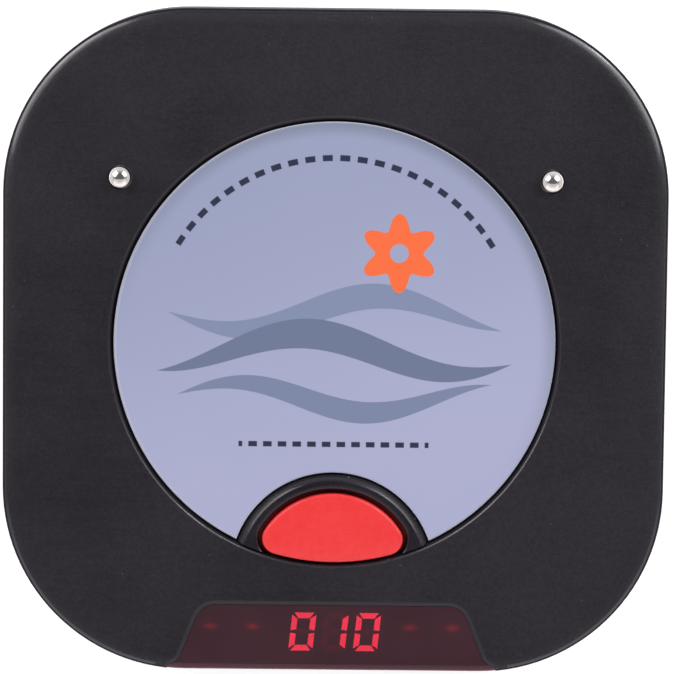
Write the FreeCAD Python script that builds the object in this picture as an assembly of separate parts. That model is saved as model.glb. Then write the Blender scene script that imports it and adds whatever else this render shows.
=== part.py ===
"""Table-top guest pager: a coaster-sized call unit that lights up, buzzes and shakes.

Frame: +Z up, origin on the table under the middle of the case, -Y towards the display,
+X to the right of someone who reads the display. All lengths are in millimetres.

Each function below makes one piece, or one group of identical pieces, where it sits in
the finished pager. main() writes every piece to parts/NODE.step.
"""
import FreeCAD, Part
import math
import os

V = FreeCAD.Vector
UP = V(0, 0, 1)
ORIGIN = V(0, 0, 0)

# ---- Case: two shells that meet at a seam -----------------------------------------
CASE_HALF = 50.0                 # half the side of the square case, at the seam
CORNER_R = 28.0                  # corner radius, at the seam
CORNER_AXIS = CASE_HALF - CORNER_R
BASE_Z = 0.8                     # the rubber feet lift the case this far
SEAM_Z = 8.6
TOP_Z = 17.0
WALL = 2.0
SIDE_DRAFT = 3.4                 # degrees that the upper walls lean in, above the seam
TOP_BEVEL = 0.6                  # bevel on the top edge
BASE_BEVEL = 2.2                 # bevel on the bottom edge
SEAM_STEP = 0.25                 # the bottom cover stands back this far, as a shadow line
PLATE_Z = TOP_Z - WALL           # underside of the top plate
FLOOR_Z = BASE_Z + 1.8           # inside floor of the bottom cover
INNER_REACH = 25.6               # inside of both walls, from the axis of a corner
INNER_HALF = CORNER_AXIS + INNER_REACH

# ---- Label disc and the round recess that holds it -------------------------------
RECESS_R = 33.4
RECESS_BEVEL = 0.5               # bevel on the lip of the recess
SEAT_Z = 15.2                    # the disc and the bezel rest at this height
SEAT_THICK = 1.0
SEAT_INNER_R = 31.6
SEAT_HALF = 35.2                 # the seat is an octagon under the plate, this far across its flats
DISC_R = 33.0
DIFFUSER_THICK = 1.3
LABEL_THICK = 0.2
LABEL_INSET = 0.15

# ---- Call button and the arched bezel round it -----------------------------------
ARCH_Y = -34.4                   # centre of the arch, just outside the recess
DISC_BITE_R = 15.1               # the disc is cut away to this radius round the arch
BEZEL_R = 14.75
BEZEL_TOP_Z = 16.95
BEZEL_BEVEL = 0.5
BEZEL_SIDE_GAP = 0.15            # between the bezel's ends and the recess wall
BUTTON_UPPER_R = 12.0            # upper arc of the button, centred on the arch
BUTTON_LOWER_R = 32.75           # lower arc of the button, centred on the case
BUTTON_TIP_R = 2.4
BUTTON_TOP_Z = 17.55
BUTTON_BEVEL = 0.45
BUTTON_ROOF = 1.3                # thickness over its pocket
HOLE_OFFSET = 0.65               # gap round the button
FLANGE_OFFSET = 1.2              # rim that keeps the button in, under the seat
FLANGE_THICK = 0.95
BUTTON_TRAVEL = 0.4
PRESS_POINT = V(0, -28, 0)       # the stem and the switch stand here

# ---- Display window, let into the front edge -------------------------------------
WINDOW_Y = -39.6                 # back edge of the window
WINDOW_HALF = 19.55              # half width at the back edge, before its corners are rounded
WINDOW_LEAN = 22.0               # degrees that its sides spread towards the front
WINDOW_CORNER_R = 3.0
FLARE_Y = -47.3                  # the sides flare out from here to the case edge
FLARE_R = 2.3
WINDOW_LOW_Z = 9.8               # lower edge of the window on the front wall
WINDOW_TOP_Z = 16.65
WINDOW_BEVEL = 0.7               # width of the bevel round the window's pocket
WINDOW_THICK = 1.7
WINDOW_INSET = 0.25              # the front of the window stands this far inside the case
WINDOW_FIT = 0.05                # gap round the window in its opening
WINDOW_FLANGE = 1.2              # glued rim under the top plate
WINDOW_FLANGE_THICK = 0.8

# ---- Circuit board and what stands on it -----------------------------------------
BOARD_Z = 8.4
BOARD_TOP_Z = 9.6
BOARD_HALF = 47.2
POST_POINTS = (V(-40, -4, 0), V(40, -4, 0), V(0, 41, 0))     # posts that clamp the board

DIGIT_CENTRE = V(0.5, -43.9, 0)
DIGIT_HIGH = 5.8
DIGIT_WIDE = 3.65
DIGIT_PITCH = 4.88
DIGIT_SLANT = 6.0                # degrees
SEGMENT_THICK = 0.85
SEGMENT_GAP = 0.17
MODULE_WIDE = 17.4
MODULE_DEEP = 6.6
MODULE_TOP_Z = 14.0
SEGMENT_PROUD = 0.1

INDICATOR_X = (-18.4, -12.0, 12.0, 18.4)
INDICATOR_Y = -43.4

RING_LED_R = 27.0
RING_LED_COUNT = 11
RING_LED_FIRST = -48.0           # degrees; the ring stays open behind the button
RING_LED_LAST = 228.0

# ---- Spring charging contacts on top, contact buttons below ----------------------
CONTACT_X = 32.1
CONTACT_Y = 24.45
NUB_R = 1.55
NUB_TIP_Z = 19.2
NUB_COLLAR_R = 1.93
NUB_COLLAR_Z = 13.2              # underside of the collar that the spring pushes on
NUB_COLLAR_THICK = 0.8
NUB_HOLE_R = 1.8
BARREL_R = 2.5
BARREL_BORE_R = 2.0
BARREL_FLOOR_Z = 10.2
SPRING_R = 1.3                   # to the middle of the wire
SPRING_WIRE = 0.4                # side of the square wire
SPRING_TURNS = 4
SPRING_RUNS = 6                  # straight runs in one turn
SOCKET_R = 3.0                   # a stacked pager's nub goes in here
SOCKET_ROOF_Z = 1.7              # lower end of the contact pin that closes the socket
STACK_PIN_HALF = 2.05            # the pin is square

# ---- Snap hooks and feet ----------------------------------------------------------
HOOK_Y = 14.0                    # two hooks on each side wall, at +-HOOK_Y
HOOK_LONG = 5.0
HOOK_THICK = 0.9
HOOK_NOSE = 0.7
HOOK_LOW_Z = 5.2
FOOT_HALF = 3.5
FOOT_POINTS = (V(-24, -40, 0), V(24, -40, 0), V(24, 40, 0), V(-24, 40, 0))

# ---- Battery, buzzer and motor in the bottom cover --------------------------------
BATTERY_CENTRE = V(2, 6, 0)
BATTERY_WIDE = 34.0
BATTERY_LONG = 44.0
BATTERY_LOW_Z = 3.1
BATTERY_THICK = 4.4
LEAD_Z = 5.4                     # height at which the battery's wires run
LEAD_R = 0.5
PLUG_BACK_Y = -32.5              # the wires enter the plug here
BUZZER_CENTRE = V(-29, -16, 0)
BUZZER_HALF = 5.0
BUZZER_LOW_Z = 3.0
GRILLE_SLOTS = 5
GRILLE_SLOT_WIDE = 1.0
GRILLE_PITCH = 2.2
MOTOR_X = 31.0
MOTOR_Z = 5.5
MOTOR_R = 2.45
MOTOR_BACK_Y = -8.0
MOTOR_FRONT_Y = -20.0
SHAFT_R = 0.5
WEIGHT_R = 2.45
WEIGHT_LONG = 3.6


# ==================================================================================
# Building blocks
# ==================================================================================
def profile(*points):
    """Closed face in the XZ plane through (x, z) points."""
    corners = [V(x, 0, z) for x, z in points]
    return Part.Face(Part.makePolygon(corners + [corners[0]]))


def turned(face, x=0.0, y=0.0):
    """Solid of revolution of a profile about the vertical through (x, y)."""
    solid = face.revolve(ORIGIN, UP, 360)
    solid.translate(V(x, y, 0))
    return solid


def rod(radius, low, high, x=0.0, y=0.0):
    """Upright cylinder between two heights."""
    return Part.makeCylinder(radius, high - low, V(x, y, low))


def block(x0, x1, y0, y1, z0, z1):
    """Box between two corners."""
    return Part.makeBox(x1 - x0, y1 - y0, z1 - z0, V(x0, y0, z0))


def octagon(half, low, high):
    """Upright eight-sided plate, given from the middle to a flat."""
    reach = half / math.cos(math.pi / 8)
    corners = [V(reach * math.cos((k + 0.5) * math.pi / 4), reach * math.sin((k + 0.5) * math.pi / 4), low)
               for k in range(8)]
    return Part.Face(Part.makePolygon(corners + [corners[0]])).extrude(V(0, 0, high - low))


def joined(solids):
    """One clean solid from overlapping ones."""
    return solids[0].multiFuse(solids[1:]).removeSplitter()


def around_case(face):
    """Carry a half section once round the case outline and fill the middle.

    The section's x is the distance from the axis of a corner, so an x of CORNER_R
    lies on the case's outside at the seam.
    """
    low = face.BoundBox.ZMin
    high = face.BoundBox.ZMax
    solids = [block(-CORNER_AXIS, CORNER_AXIS, -CORNER_AXIS, CORNER_AXIS, low, high)]
    for quarter in range(4):
        corner = face.revolve(ORIGIN, UP, 90)
        corner.translate(V(CORNER_AXIS, CORNER_AXIS, 0))
        side = face.translated(V(CORNER_AXIS, -CORNER_AXIS, 0)).extrude(V(0, 2 * CORNER_AXIS, 0))
        for solid in (corner, side):
            solid.rotate(ORIGIN, UP, 90 * quarter)
            solids.append(solid)
    return joined(solids)


def wall_reach(z):
    """Distance of the drafted upper wall from a corner's axis, at a height."""
    return CORNER_R - (z - SEAM_Z) * math.tan(math.radians(SIDE_DRAFT))


def upper_section(low, high, inset=0.0):
    """Half section that follows the upper wall and its bevelled top edge, at an inset."""
    side_x = wall_reach(high - TOP_BEVEL) - inset
    return profile((0, low), (wall_reach(low) - inset, low), (side_x, high - TOP_BEVEL),
                   (side_x - TOP_BEVEL, high), (0, high))


def inner_room(low, high, gap=0.0):
    """Space inside the straight inner walls, between two heights."""
    reach = INNER_REACH - gap
    return around_case(profile((0, low), (reach, low), (reach, high), (0, high)))


def hook_boxes(out, low, high, spread=0.0):
    """Blocks at the four hooks, from the inner face of a hook to a distance out into the wall."""
    boxes = []
    half = HOOK_LONG / 2 + spread
    for side in (-1, 1):
        x = sorted((side * (INNER_HALF - HOOK_THICK - 0.1 - spread), side * (INNER_HALF + out)))
        for y in (-HOOK_Y, HOOK_Y):
            boxes.append(block(x[0], x[1], y - half, y + half, low, high))
    return boxes


def arc_outline(low, high, *arcs):
    """Upright prism whose outline is a closed chain of (start, via, end) arcs."""
    edges = [Part.Arc(V(*a), V(*b), V(*c)).toShape() for a, b, c in arcs]
    face = Part.Face(Part.Wire(edges))
    face.translate(V(0, 0, low))
    return face.extrude(V(0, 0, high - low))


# ==================================================================================
# Outlines that several pieces share
# ==================================================================================
def button_prism(offset, low, high):
    """Half-moon of the button, grown by an offset: two large arcs and two round tips."""
    upper = BUTTON_UPPER_R + offset
    lower = BUTTON_LOWER_R + offset
    tip = BUTTON_TIP_R + offset
    # The tip's centre lies inside both large arcs, at (upper - tip) and (lower - tip).
    near = upper - tip
    far = lower - tip
    tip_y = (far ** 2 - near ** 2 + ARCH_Y ** 2) / (2 * ARCH_Y)
    tip_x = math.sqrt(far ** 2 - tip_y ** 2)

    def on_circle(centre_x, centre_y, radius, toward_x, toward_y):
        length = math.hypot(toward_x, toward_y)
        return (centre_x + radius * toward_x / length, centre_y + radius * toward_y / length, 0)

    top_right = on_circle(tip_x, tip_y, tip, tip_x, tip_y - ARCH_Y)
    low_right = on_circle(tip_x, tip_y, tip, tip_x, tip_y)
    top_left = (-top_right[0], top_right[1], 0)
    low_left = (-low_right[0], low_right[1], 0)
    return arc_outline(
        low, high,
        (top_left, (0, ARCH_Y + upper, 0), top_right),
        (top_right, (tip_x + tip, tip_y, 0), low_right),
        (low_right, (0, -lower, 0), low_left),
        (low_left, (-tip_x - tip, tip_y, 0), top_left),
    )


def window_wire(offset, z):
    """Outline of the display window, grown by an offset: a trapezium with flared feet."""
    lean = math.radians(WINDOW_LEAN)
    side = V(math.sin(lean), -math.cos(lean), 0)       # down the right-hand side
    outward = V(math.cos(lean), math.sin(lean), 0)
    corner_r = WINDOW_CORNER_R + offset
    flare_r = FLARE_R - offset

    back_y = WINDOW_Y + offset
    corner = V(WINDOW_HALF, WINDOW_Y, 0)
    # Centre of the rounded corner: both tangent edges lie one corner radius away.
    along = (WINDOW_CORNER_R * (1 - outward.y)) / -side.y
    centre = corner - outward * WINDOW_CORNER_R + side * along
    side_start = centre + outward * corner_r
    flare_start = corner + side * ((FLARE_Y - corner.y) / side.y)
    flare_centre = flare_start + outward * FLARE_R
    side_end = flare_centre - outward * flare_r
    flare_end = flare_centre + V(0, -flare_r, 0)
    half_turn = math.radians((180 + WINDOW_LEAN + 270) / 2)
    flare_via = flare_centre + V(math.cos(half_turn), math.sin(half_turn), 0) * flare_r
    corner_turn = math.radians((90 + WINDOW_LEAN) / 2)
    corner_via = centre + V(math.cos(corner_turn), math.sin(corner_turn), 0) * corner_r
    out = V(flare_end.x, -CASE_HALF - 3, 0)
    top = V(centre.x, back_y, 0)

    def mirrored(point):
        return V(-point.x, point.y, 0)

    edges = [
        Part.LineSegment(mirrored(top), top),
        Part.Arc(top, corner_via, side_start),
        Part.LineSegment(side_start, side_end),
        Part.Arc(side_end, flare_via, flare_end),
        Part.LineSegment(flare_end, out),
        Part.LineSegment(out, mirrored(out)),
        Part.LineSegment(mirrored(out), mirrored(flare_end)),
        Part.Arc(mirrored(flare_end), mirrored(flare_via), mirrored(side_end)),
        Part.LineSegment(mirrored(side_end), mirrored(side_start)),
        Part.Arc(mirrored(side_start), mirrored(corner_via), mirrored(top)),
    ]
    wire = Part.Wire([edge.toShape() for edge in edges])
    wire.translate(V(0, 0, z))
    return wire


def window_prism(offset, low, high):
    """Upright prism of the window's outline."""
    return Part.Face(window_wire(offset, low)).extrude(V(0, 0, high - low))


def bitten_disc(radius, bite, low, high):
    """Round plate with the arch of the button bezel cut out of its front edge."""
    return rod(radius, low, high).cut(rod(bite, low - 1, high + 1, 0, ARCH_Y))


# ==================================================================================
# Case
# ==================================================================================
def top_cover():
    """Moulded top shell: label recess, button seat, window pocket, hooks, posts and ribs."""
    shell = around_case(upper_section(SEAM_Z, TOP_Z)).cut(inner_room(SEAM_Z - 1, PLATE_Z))
    seat_low = SEAT_Z - SEAT_THICK
    additions = [octagon(SEAT_HALF, seat_low, SEAT_Z)]
    for p in POST_POINTS:
        additions.append(block(p.x - 1.5, p.x + 1.5, p.y - 1.5, p.y + 1.5, BOARD_TOP_Z, PLATE_Z + 0.5))
    additions += hook_boxes(-0.1, HOOK_LOW_Z, SEAM_Z + 2)
    additions += hook_boxes(HOOK_NOSE, HOOK_LOW_Z, HOOK_LOW_Z + 1)
    additions += hook_boxes(0.3, SEAM_Z + 0.5, SEAM_Z + 2)
    shell = joined([shell] + additions + cover_ribs())

    recess = turned(profile((0, SEAT_Z), (RECESS_R, SEAT_Z), (RECESS_R, TOP_Z - RECESS_BEVEL),
                            (RECESS_R + RECESS_BEVEL, TOP_Z), (RECESS_R + RECESS_BEVEL, TOP_Z + 1),
                            (0, TOP_Z + 1)))
    light_opening = bitten_disc(SEAT_INNER_R, DISC_BITE_R + 0.5, seat_low - 1, SEAT_Z + 1)
    button_hole = button_prism(HOLE_OFFSET, seat_low - 1, SEAT_Z + 1)
    shell = shell.cut(recess).cut(light_opening).cut(button_hole)

    bevel_z = WINDOW_TOP_Z - 0.05
    bevel = Part.makeLoft([window_wire(0, bevel_z), window_wire(WINDOW_BEVEL, TOP_Z),
                           window_wire(WINDOW_BEVEL, TOP_Z + 0.5)], True, True)
    shell = shell.cut(window_prism(0, WINDOW_LOW_Z, TOP_Z + 1)).cut(bevel)
    holes = [rod(NUB_HOLE_R, PLATE_Z - 1, TOP_Z + 1, x, CONTACT_Y) for x in (-CONTACT_X, CONTACT_X)]
    return shell.cut(Part.makeCompound(holes))


def cover_ribs():
    """Short radial ribs that stiffen the top plate between the seat ring and the walls."""
    ribs = []
    for angle in (15, 75, 105, 165, 195, 345):
        rib = block(SEAT_HALF - 0.5, INNER_HALF + 0.2, -0.5, 0.5, PLATE_Z - 2, PLATE_Z + 0.3)
        rib.rotate(ORIGIN, UP, angle)
        ribs.append(rib)
    return ribs


def bottom_cover():
    """Moulded bottom shell: board posts, battery tray, sockets, hook slots and sound slots."""
    side_x = CORNER_R - SEAM_STEP
    shell = around_case(profile((0, BASE_Z), (side_x - BASE_BEVEL, BASE_Z), (side_x, BASE_Z + BASE_BEVEL),
                                (side_x, SEAM_Z), (0, SEAM_Z)))
    shell = shell.cut(inner_room(FLOOR_Z, SEAM_Z + 1))
    posts = [block(p.x - 2, p.x + 2, p.y - 2, p.y + 2, FLOOR_Z - 0.2, BOARD_Z) for p in POST_POINTS]
    shell = joined([shell] + posts + battery_tray() + motor_cradle())
    cuts = hook_boxes(HOOK_NOSE + 0.1, HOOK_LOW_Z - 0.1, HOOK_LOW_Z + 1.1, 0.15) + sound_slots()
    for x in (-CONTACT_X, CONTACT_X):
        cuts.append(rod(SOCKET_R, BASE_Z - 1, SOCKET_ROOF_Z, x, CONTACT_Y))
        cuts.append(pin_block(x, SOCKET_ROOF_Z - 0.5, FLOOR_Z + 1, 0.05))
    return shell.cut(Part.makeCompound(cuts))


def sound_slots():
    """Row of slots in the floor, under the buzzer."""
    slots = []
    for index in range(GRILLE_SLOTS):
        middle = BUZZER_CENTRE.x + (index - (GRILLE_SLOTS - 1) / 2) * GRILLE_PITCH
        reach = math.sqrt((BUZZER_HALF + 0.4) ** 2 - (middle - BUZZER_CENTRE.x) ** 2)
        slots.append(block(middle - GRILLE_SLOT_WIDE / 2, middle + GRILLE_SLOT_WIDE / 2,
                           BUZZER_CENTRE.y - reach, BUZZER_CENTRE.y + reach, BASE_Z - 1, FLOOR_Z + 1))
    return slots


def battery_tray():
    """Four corner ribs that fence the battery in."""
    ribs = []
    half_wide = BATTERY_WIDE / 2 + 0.3
    half_long = BATTERY_LONG / 2 + 0.3
    for sx in (-1, 1):
        for sy in (-1, 1):
            x = BATTERY_CENTRE.x + sx * half_wide
            y = BATTERY_CENTRE.y + sy * half_long
            along = sorted((x + sx * 1.2, x - sx * 6))
            across = sorted((y, y + sy * 1.2))
            ribs.append(block(along[0], along[1], across[0], across[1], FLOOR_Z - 0.2, FLOOR_Z + 3))
            along = sorted((x, x + sx * 1.2))
            across = sorted((y + sy * 1.2, y - sy * 6))
            ribs.append(block(along[0], along[1], across[0], across[1], FLOOR_Z - 0.2, FLOOR_Z + 3))
    return ribs


def motor_cradle():
    """Two pairs of walls that hold the motor's rubber boot."""
    walls = []
    for side in (-1, 1):
        x = sorted((MOTOR_X + side * 3.05, MOTOR_X + side * 4.05))
        walls.append(block(x[0], x[1], MOTOR_FRONT_Y + 2, MOTOR_BACK_Y - 2, FLOOR_Z - 0.2, FLOOR_Z + 4))
    return walls


def rubber_feet():
    """Four square feet, stuck on the bottom cover."""
    return Part.makeCompound([block(p.x - FOOT_HALF, p.x + FOOT_HALF, p.y - FOOT_HALF, p.y + FOOT_HALF,
                                    0, BASE_Z) for p in FOOT_POINTS])


# ==================================================================================
# Label, button and window
# ==================================================================================
def light_diffuser():
    """Milky plate under the label that spreads the light of the ring of lamps."""
    return bitten_disc(DISC_R, DISC_BITE_R, SEAT_Z, SEAT_Z + DIFFUSER_THICK)


def label_disc():
    """Thin printed disc stuck on the diffuser."""
    low = SEAT_Z + DIFFUSER_THICK
    return bitten_disc(DISC_R - LABEL_INSET, DISC_BITE_R + LABEL_INSET, low, low + LABEL_THICK)


def button_bezel():
    """Arched surround of the button, which sits in the front of the recess."""
    arch = turned(profile((0, SEAT_Z), (BEZEL_R, SEAT_Z), (BEZEL_R, BEZEL_TOP_Z - BEZEL_BEVEL),
                          (BEZEL_R - BEZEL_BEVEL, BEZEL_TOP_Z), (0, BEZEL_TOP_Z)), 0, ARCH_Y)
    plate = arch.common(rod(RECESS_R - BEZEL_SIDE_GAP, SEAT_Z, BEZEL_TOP_Z))
    return plate.cut(button_prism(HOLE_OFFSET, SEAT_Z - 1, BEZEL_TOP_Z + 1))


def call_button():
    """Half-moon button with a retaining flange, a pocket below and a stem."""
    flange_top = SEAT_Z - SEAT_THICK - 0.05
    flange_low = flange_top - FLANGE_THICK
    cap = button_prism(0, flange_low, BUTTON_TOP_Z)
    top_edges = [edge for edge in cap.Edges if edge.BoundBox.ZMin > BUTTON_TOP_Z - 0.1]
    cap = cap.makeChamfer(BUTTON_BEVEL, top_edges)
    body = joined([cap, button_prism(FLANGE_OFFSET, flange_low, flange_top)])
    roof = BUTTON_TOP_Z - BUTTON_ROOF
    x, y = PRESS_POINT.x, PRESS_POINT.y
    body = body.cut(block(x - 6, x + 6, y - 3.2, y + 3.2, flange_low - 1, roof))
    return joined([body, block(x - 1.6, x + 1.6, y - 1.6, y + 1.6, plunger_top_z() + 0.02, roof + 0.3)])


def plunger_top_z():
    """Height of the switch's own plunger at rest: 4.3 above the board."""
    return BOARD_TOP_Z + 4.3


def switch_body():
    """Square push switch: moulded base with a round opening for its plunger."""
    x, y = PRESS_POINT.x, PRESS_POINT.y
    base = block(x - 3, x + 3, y - 3, y + 3, BOARD_TOP_Z, BOARD_TOP_Z + 3.5)
    return base.cut(rod(1.83, BOARD_TOP_Z + 2.2, BOARD_TOP_Z + 4, x, y))


def switch_plunger():
    """Round plunger of the push switch."""
    low = BOARD_TOP_Z + 2.2 + BUTTON_TRAVEL + 0.1
    return rod(1.75, low, plunger_top_z(), PRESS_POINT.x, PRESS_POINT.y)


def display_window():
    """Smoked window that wraps over the front edge, with a glued rim under the plate."""
    pane_low = WINDOW_TOP_Z - WINDOW_THICK
    outer = around_case(upper_section(WINDOW_LOW_Z + WINDOW_FIT, WINDOW_TOP_Z, WINDOW_INSET))
    inner = around_case(upper_section(SEAM_Z, pane_low, WINDOW_INSET + WINDOW_THICK))
    pane = outer.cut(inner).common(window_prism(-WINDOW_FIT, WINDOW_LOW_Z, TOP_Z + 1))

    rim_low = pane_low - WINDOW_FLANGE_THICK
    rim = window_prism(WINDOW_FLANGE, rim_low, pane_low).common(inner_room(rim_low, pane_low, 0.15))
    return joined([pane, rim])


# ==================================================================================
# Display and lamps
# ==================================================================================
def display_module():
    """Body of the three-digit display."""
    x, y = DIGIT_CENTRE.x, DIGIT_CENTRE.y
    return block(x - MODULE_WIDE / 2, x + MODULE_WIDE / 2, y - MODULE_DEEP / 2, y + MODULE_DEEP / 2,
                 BOARD_TOP_Z, MODULE_TOP_Z)


def segment(length, thick):
    """Flat bar with pointed ends, lying along X about the origin."""
    half = length / 2
    points = [V(-half, 0, 0), V(-half + thick / 2, thick / 2, 0), V(half - thick / 2, thick / 2, 0),
              V(half, 0, 0), V(half - thick / 2, -thick / 2, 0), V(-half + thick / 2, -thick / 2, 0)]
    face = Part.Face(Part.makePolygon(points + [points[0]]))
    return face.extrude(V(0, 0, SEGMENT_PROUD))


def display_segments():
    """Seven light bars for each of the three digits, leaning a little to the right."""
    reach_x = (DIGIT_WIDE - SEGMENT_THICK) / 2
    reach_y = (DIGIT_HIGH - SEGMENT_THICK) / 2
    across = 2 * reach_x - 2 * SEGMENT_GAP / math.sqrt(2)
    upright = reach_y - 2 * SEGMENT_GAP / math.sqrt(2)
    lean = FreeCAD.Matrix()
    lean.A12 = math.tan(math.radians(DIGIT_SLANT))
    bars = []
    for digit in (-1, 0, 1):
        layout = [(0, row * reach_y, across, 0) for row in (1, 0, -1)]
        layout += [(column * reach_x, row * reach_y / 2, upright, 90)
                   for column in (-1, 1) for row in (-1, 1)]
        for x, y, length, turn in layout:
            bar = segment(length, SEGMENT_THICK)
            bar.rotate(ORIGIN, UP, turn)
            bar.translate(V(x, y, 0))
            bar = bar.transformGeometry(lean)
            bar.translate(DIGIT_CENTRE + V(digit * DIGIT_PITCH, 0, MODULE_TOP_Z))
            bars.append(bar)
    return Part.makeCompound(bars)


def indicator_leds():
    """Four small lamps beside the digits, each a square tub with a lens on its top."""
    lamps = []
    for x in INDICATOR_X:
        y = INDICATOR_Y
        tub = block(x - 1.6, x + 1.6, y - 0.8, y + 0.8, BOARD_TOP_Z, BOARD_TOP_Z + 1.1)
        lens = block(x - 0.55, x + 0.55, y - 0.55, y + 0.55, BOARD_TOP_Z + 1.0, BOARD_TOP_Z + 1.25)
        lamps.append(joined([tub, lens]))
    return Part.makeCompound(lamps)


def ring_leds():
    """Lamps in a ring under the label."""
    lamps = []
    step = (RING_LED_LAST - RING_LED_FIRST) / (RING_LED_COUNT - 1)
    for index in range(RING_LED_COUNT):
        one = block(RING_LED_R - 1.75, RING_LED_R + 1.75, -1.4, 1.4, BOARD_TOP_Z, BOARD_TOP_Z + 1.9)
        one.rotate(ORIGIN, UP, RING_LED_FIRST + step * index)
        lamps.append(one)
    return Part.makeCompound(lamps)


# ==================================================================================
# Charging contacts
# ==================================================================================
def contact_nub(x):
    """Blunt-ended plunger that stands out of the top plate."""
    collar_top = NUB_COLLAR_Z + NUB_COLLAR_THICK
    return turned(profile(
        (0, NUB_COLLAR_Z), (NUB_COLLAR_R, NUB_COLLAR_Z), (NUB_COLLAR_R, collar_top),
        (NUB_R, collar_top), (NUB_R, NUB_TIP_Z - 0.8), (NUB_R - 0.8, NUB_TIP_Z),
        (0, NUB_TIP_Z)), x, CONTACT_Y)


def contact_barrel(x):
    """Brass cup on the board that guides the nub's collar."""
    return turned(profile((0, BOARD_TOP_Z), (BARREL_R, BOARD_TOP_Z), (BARREL_R, PLATE_Z - 0.1),
                          (BARREL_BORE_R, PLATE_Z - 0.1), (BARREL_BORE_R, BARREL_FLOOR_Z),
                          (0, BARREL_FLOOR_Z)), x, CONTACT_Y)


def contact_spring(x):
    """Coil spring between the barrel's floor and the nub's collar, in short straight runs."""
    half = SPRING_WIRE / 2
    rise = (NUB_COLLAR_Z - BARREL_FLOOR_Z - 3 * half) / (SPRING_TURNS * SPRING_RUNS)
    turn = 2 * math.pi / SPRING_RUNS
    points = []
    for index in range(SPRING_TURNS * SPRING_RUNS + 1):
        points.append(V(SPRING_R * math.cos(index * turn), SPRING_R * math.sin(index * turn),
                        BARREL_FLOOR_Z + 1.5 * half + index * rise))
    ahead = (points[1] - points[0]).normalize()
    side = ahead.cross(V(1, 0, 0)).normalize()
    across = side.cross(ahead)
    section = [points[0] + across * (a * half) + side * (b * half)
               for a, b in ((-1, -1), (1, -1), (1, 1), (-1, 1), (-1, -1))]
    coil = Part.makePolygon(points).makePipeShell([Part.makePolygon(section)], True, False, 1)
    coil.translate(V(x, CONTACT_Y, 0))
    return coil


def pin_block(x, low, high, gap=0.0):
    """Upright square block on the axis of a socket, grown by a gap."""
    half = STACK_PIN_HALF + gap
    return block(x - half, x + half, CONTACT_Y - half, CONTACT_Y + half, low, high)


def stack_contact(x):
    """Square contact pin in the roof of the socket below, which reaches up to the board."""
    return pin_block(x, SOCKET_ROOF_Z, BOARD_Z)


# ==================================================================================
# Electronics
# ==================================================================================
def main_board():
    """Circuit board that fills the case, notched round the hooks."""
    reach = BOARD_HALF - CORNER_AXIS
    board = around_case(profile((0, BOARD_Z), (reach, BOARD_Z), (reach, BOARD_TOP_Z), (0, BOARD_TOP_Z)))
    return board.cut(Part.makeCompound(hook_boxes(1, BOARD_Z - 1, BOARD_TOP_Z + 1, 0.3)))


def microcontroller():
    """The leadless chip that runs the pager."""
    return block(-11.5, -4.5, -7.5, -0.5, BOARD_TOP_Z, BOARD_TOP_Z + 0.9)


def radio_module():
    """Small radio board that lies on the main board."""
    return block(-9, 9, 8, 23, BOARD_TOP_Z, BOARD_TOP_Z + 1.0)


def radio_shield():
    """Screening can over the radio."""
    can = block(-6.5, 6.5, 10, 21, BOARD_TOP_Z + 1.0, BOARD_TOP_Z + 3.0)
    return can.cut(block(-6.2, 6.2, 10.3, 20.7, BOARD_TOP_Z + 0.5, BOARD_TOP_Z + 2.7))


def crystal():
    """Oval metal can that times the radio."""
    z = BOARD_TOP_Z
    return joined([block(5, 12, -8.3, -3.7, z, z + 3.4),
                   rod(2.3, z, z + 3.4, 5, -6), rod(2.3, z, z + 3.4, 12, -6)])


def antenna():
    """Helical aerial in its sleeve, lying on the board."""
    return Part.makeCylinder(2.0, 13.0, V(-26, 38, BOARD_TOP_Z + 2.0), V(1, 0, 0))


def buzzer():
    """Square buzzer under the board, with its sound hole over the slots."""
    x, y = BUZZER_CENTRE.x, BUZZER_CENTRE.y
    body = block(x - BUZZER_HALF, x + BUZZER_HALF, y - BUZZER_HALF, y + BUZZER_HALF, BUZZER_LOW_Z, BOARD_Z)
    return body.cut(rod(1.0, BUZZER_LOW_Z - 1, BUZZER_LOW_Z + 1.2, x, y))


def along_y(solid):
    """Lay a solid that was turned about Z down along -Y, at the motor's place."""
    solid.rotate(ORIGIN, V(1, 0, 0), 90)
    solid.translate(V(MOTOR_X, 0, MOTOR_Z))
    return solid


def motor_can():
    """Motor case with a bore for the shaft."""
    can = rod(MOTOR_R, -MOTOR_BACK_Y, -MOTOR_FRONT_Y)
    return along_y(can.cut(rod(SHAFT_R + 0.05, -MOTOR_BACK_Y + 3, -MOTOR_FRONT_Y + 1)))


def motor_boot():
    """Soft block that holds the motor between its walls."""
    outer = block(MOTOR_X - 3, MOTOR_X + 3, MOTOR_FRONT_Y + 2, MOTOR_BACK_Y - 2, FLOOR_Z, BOARD_Z)
    return outer.cut(Part.makeCylinder(MOTOR_R, 20, V(MOTOR_X, MOTOR_FRONT_Y - 2, MOTOR_Z), V(0, 1, 0)))


def motor_shaft():
    """Shaft, from inside the motor to the end of the weight."""
    return along_y(rod(SHAFT_R, -MOTOR_BACK_Y + 3.1, -MOTOR_FRONT_Y + 1.0 + WEIGHT_LONG))


def motor_weight():
    """Half-round weight whose spin makes the pager shake."""
    low = -MOTOR_FRONT_Y + 1.0
    high = low + WEIGHT_LONG
    half = rod(WEIGHT_R, low, high).cut(block(-5, 5, SHAFT_R + 0.4, 5, low - 1, high + 1))
    return along_y(half.cut(rod(SHAFT_R, low - 1, high + 1)))


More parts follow.
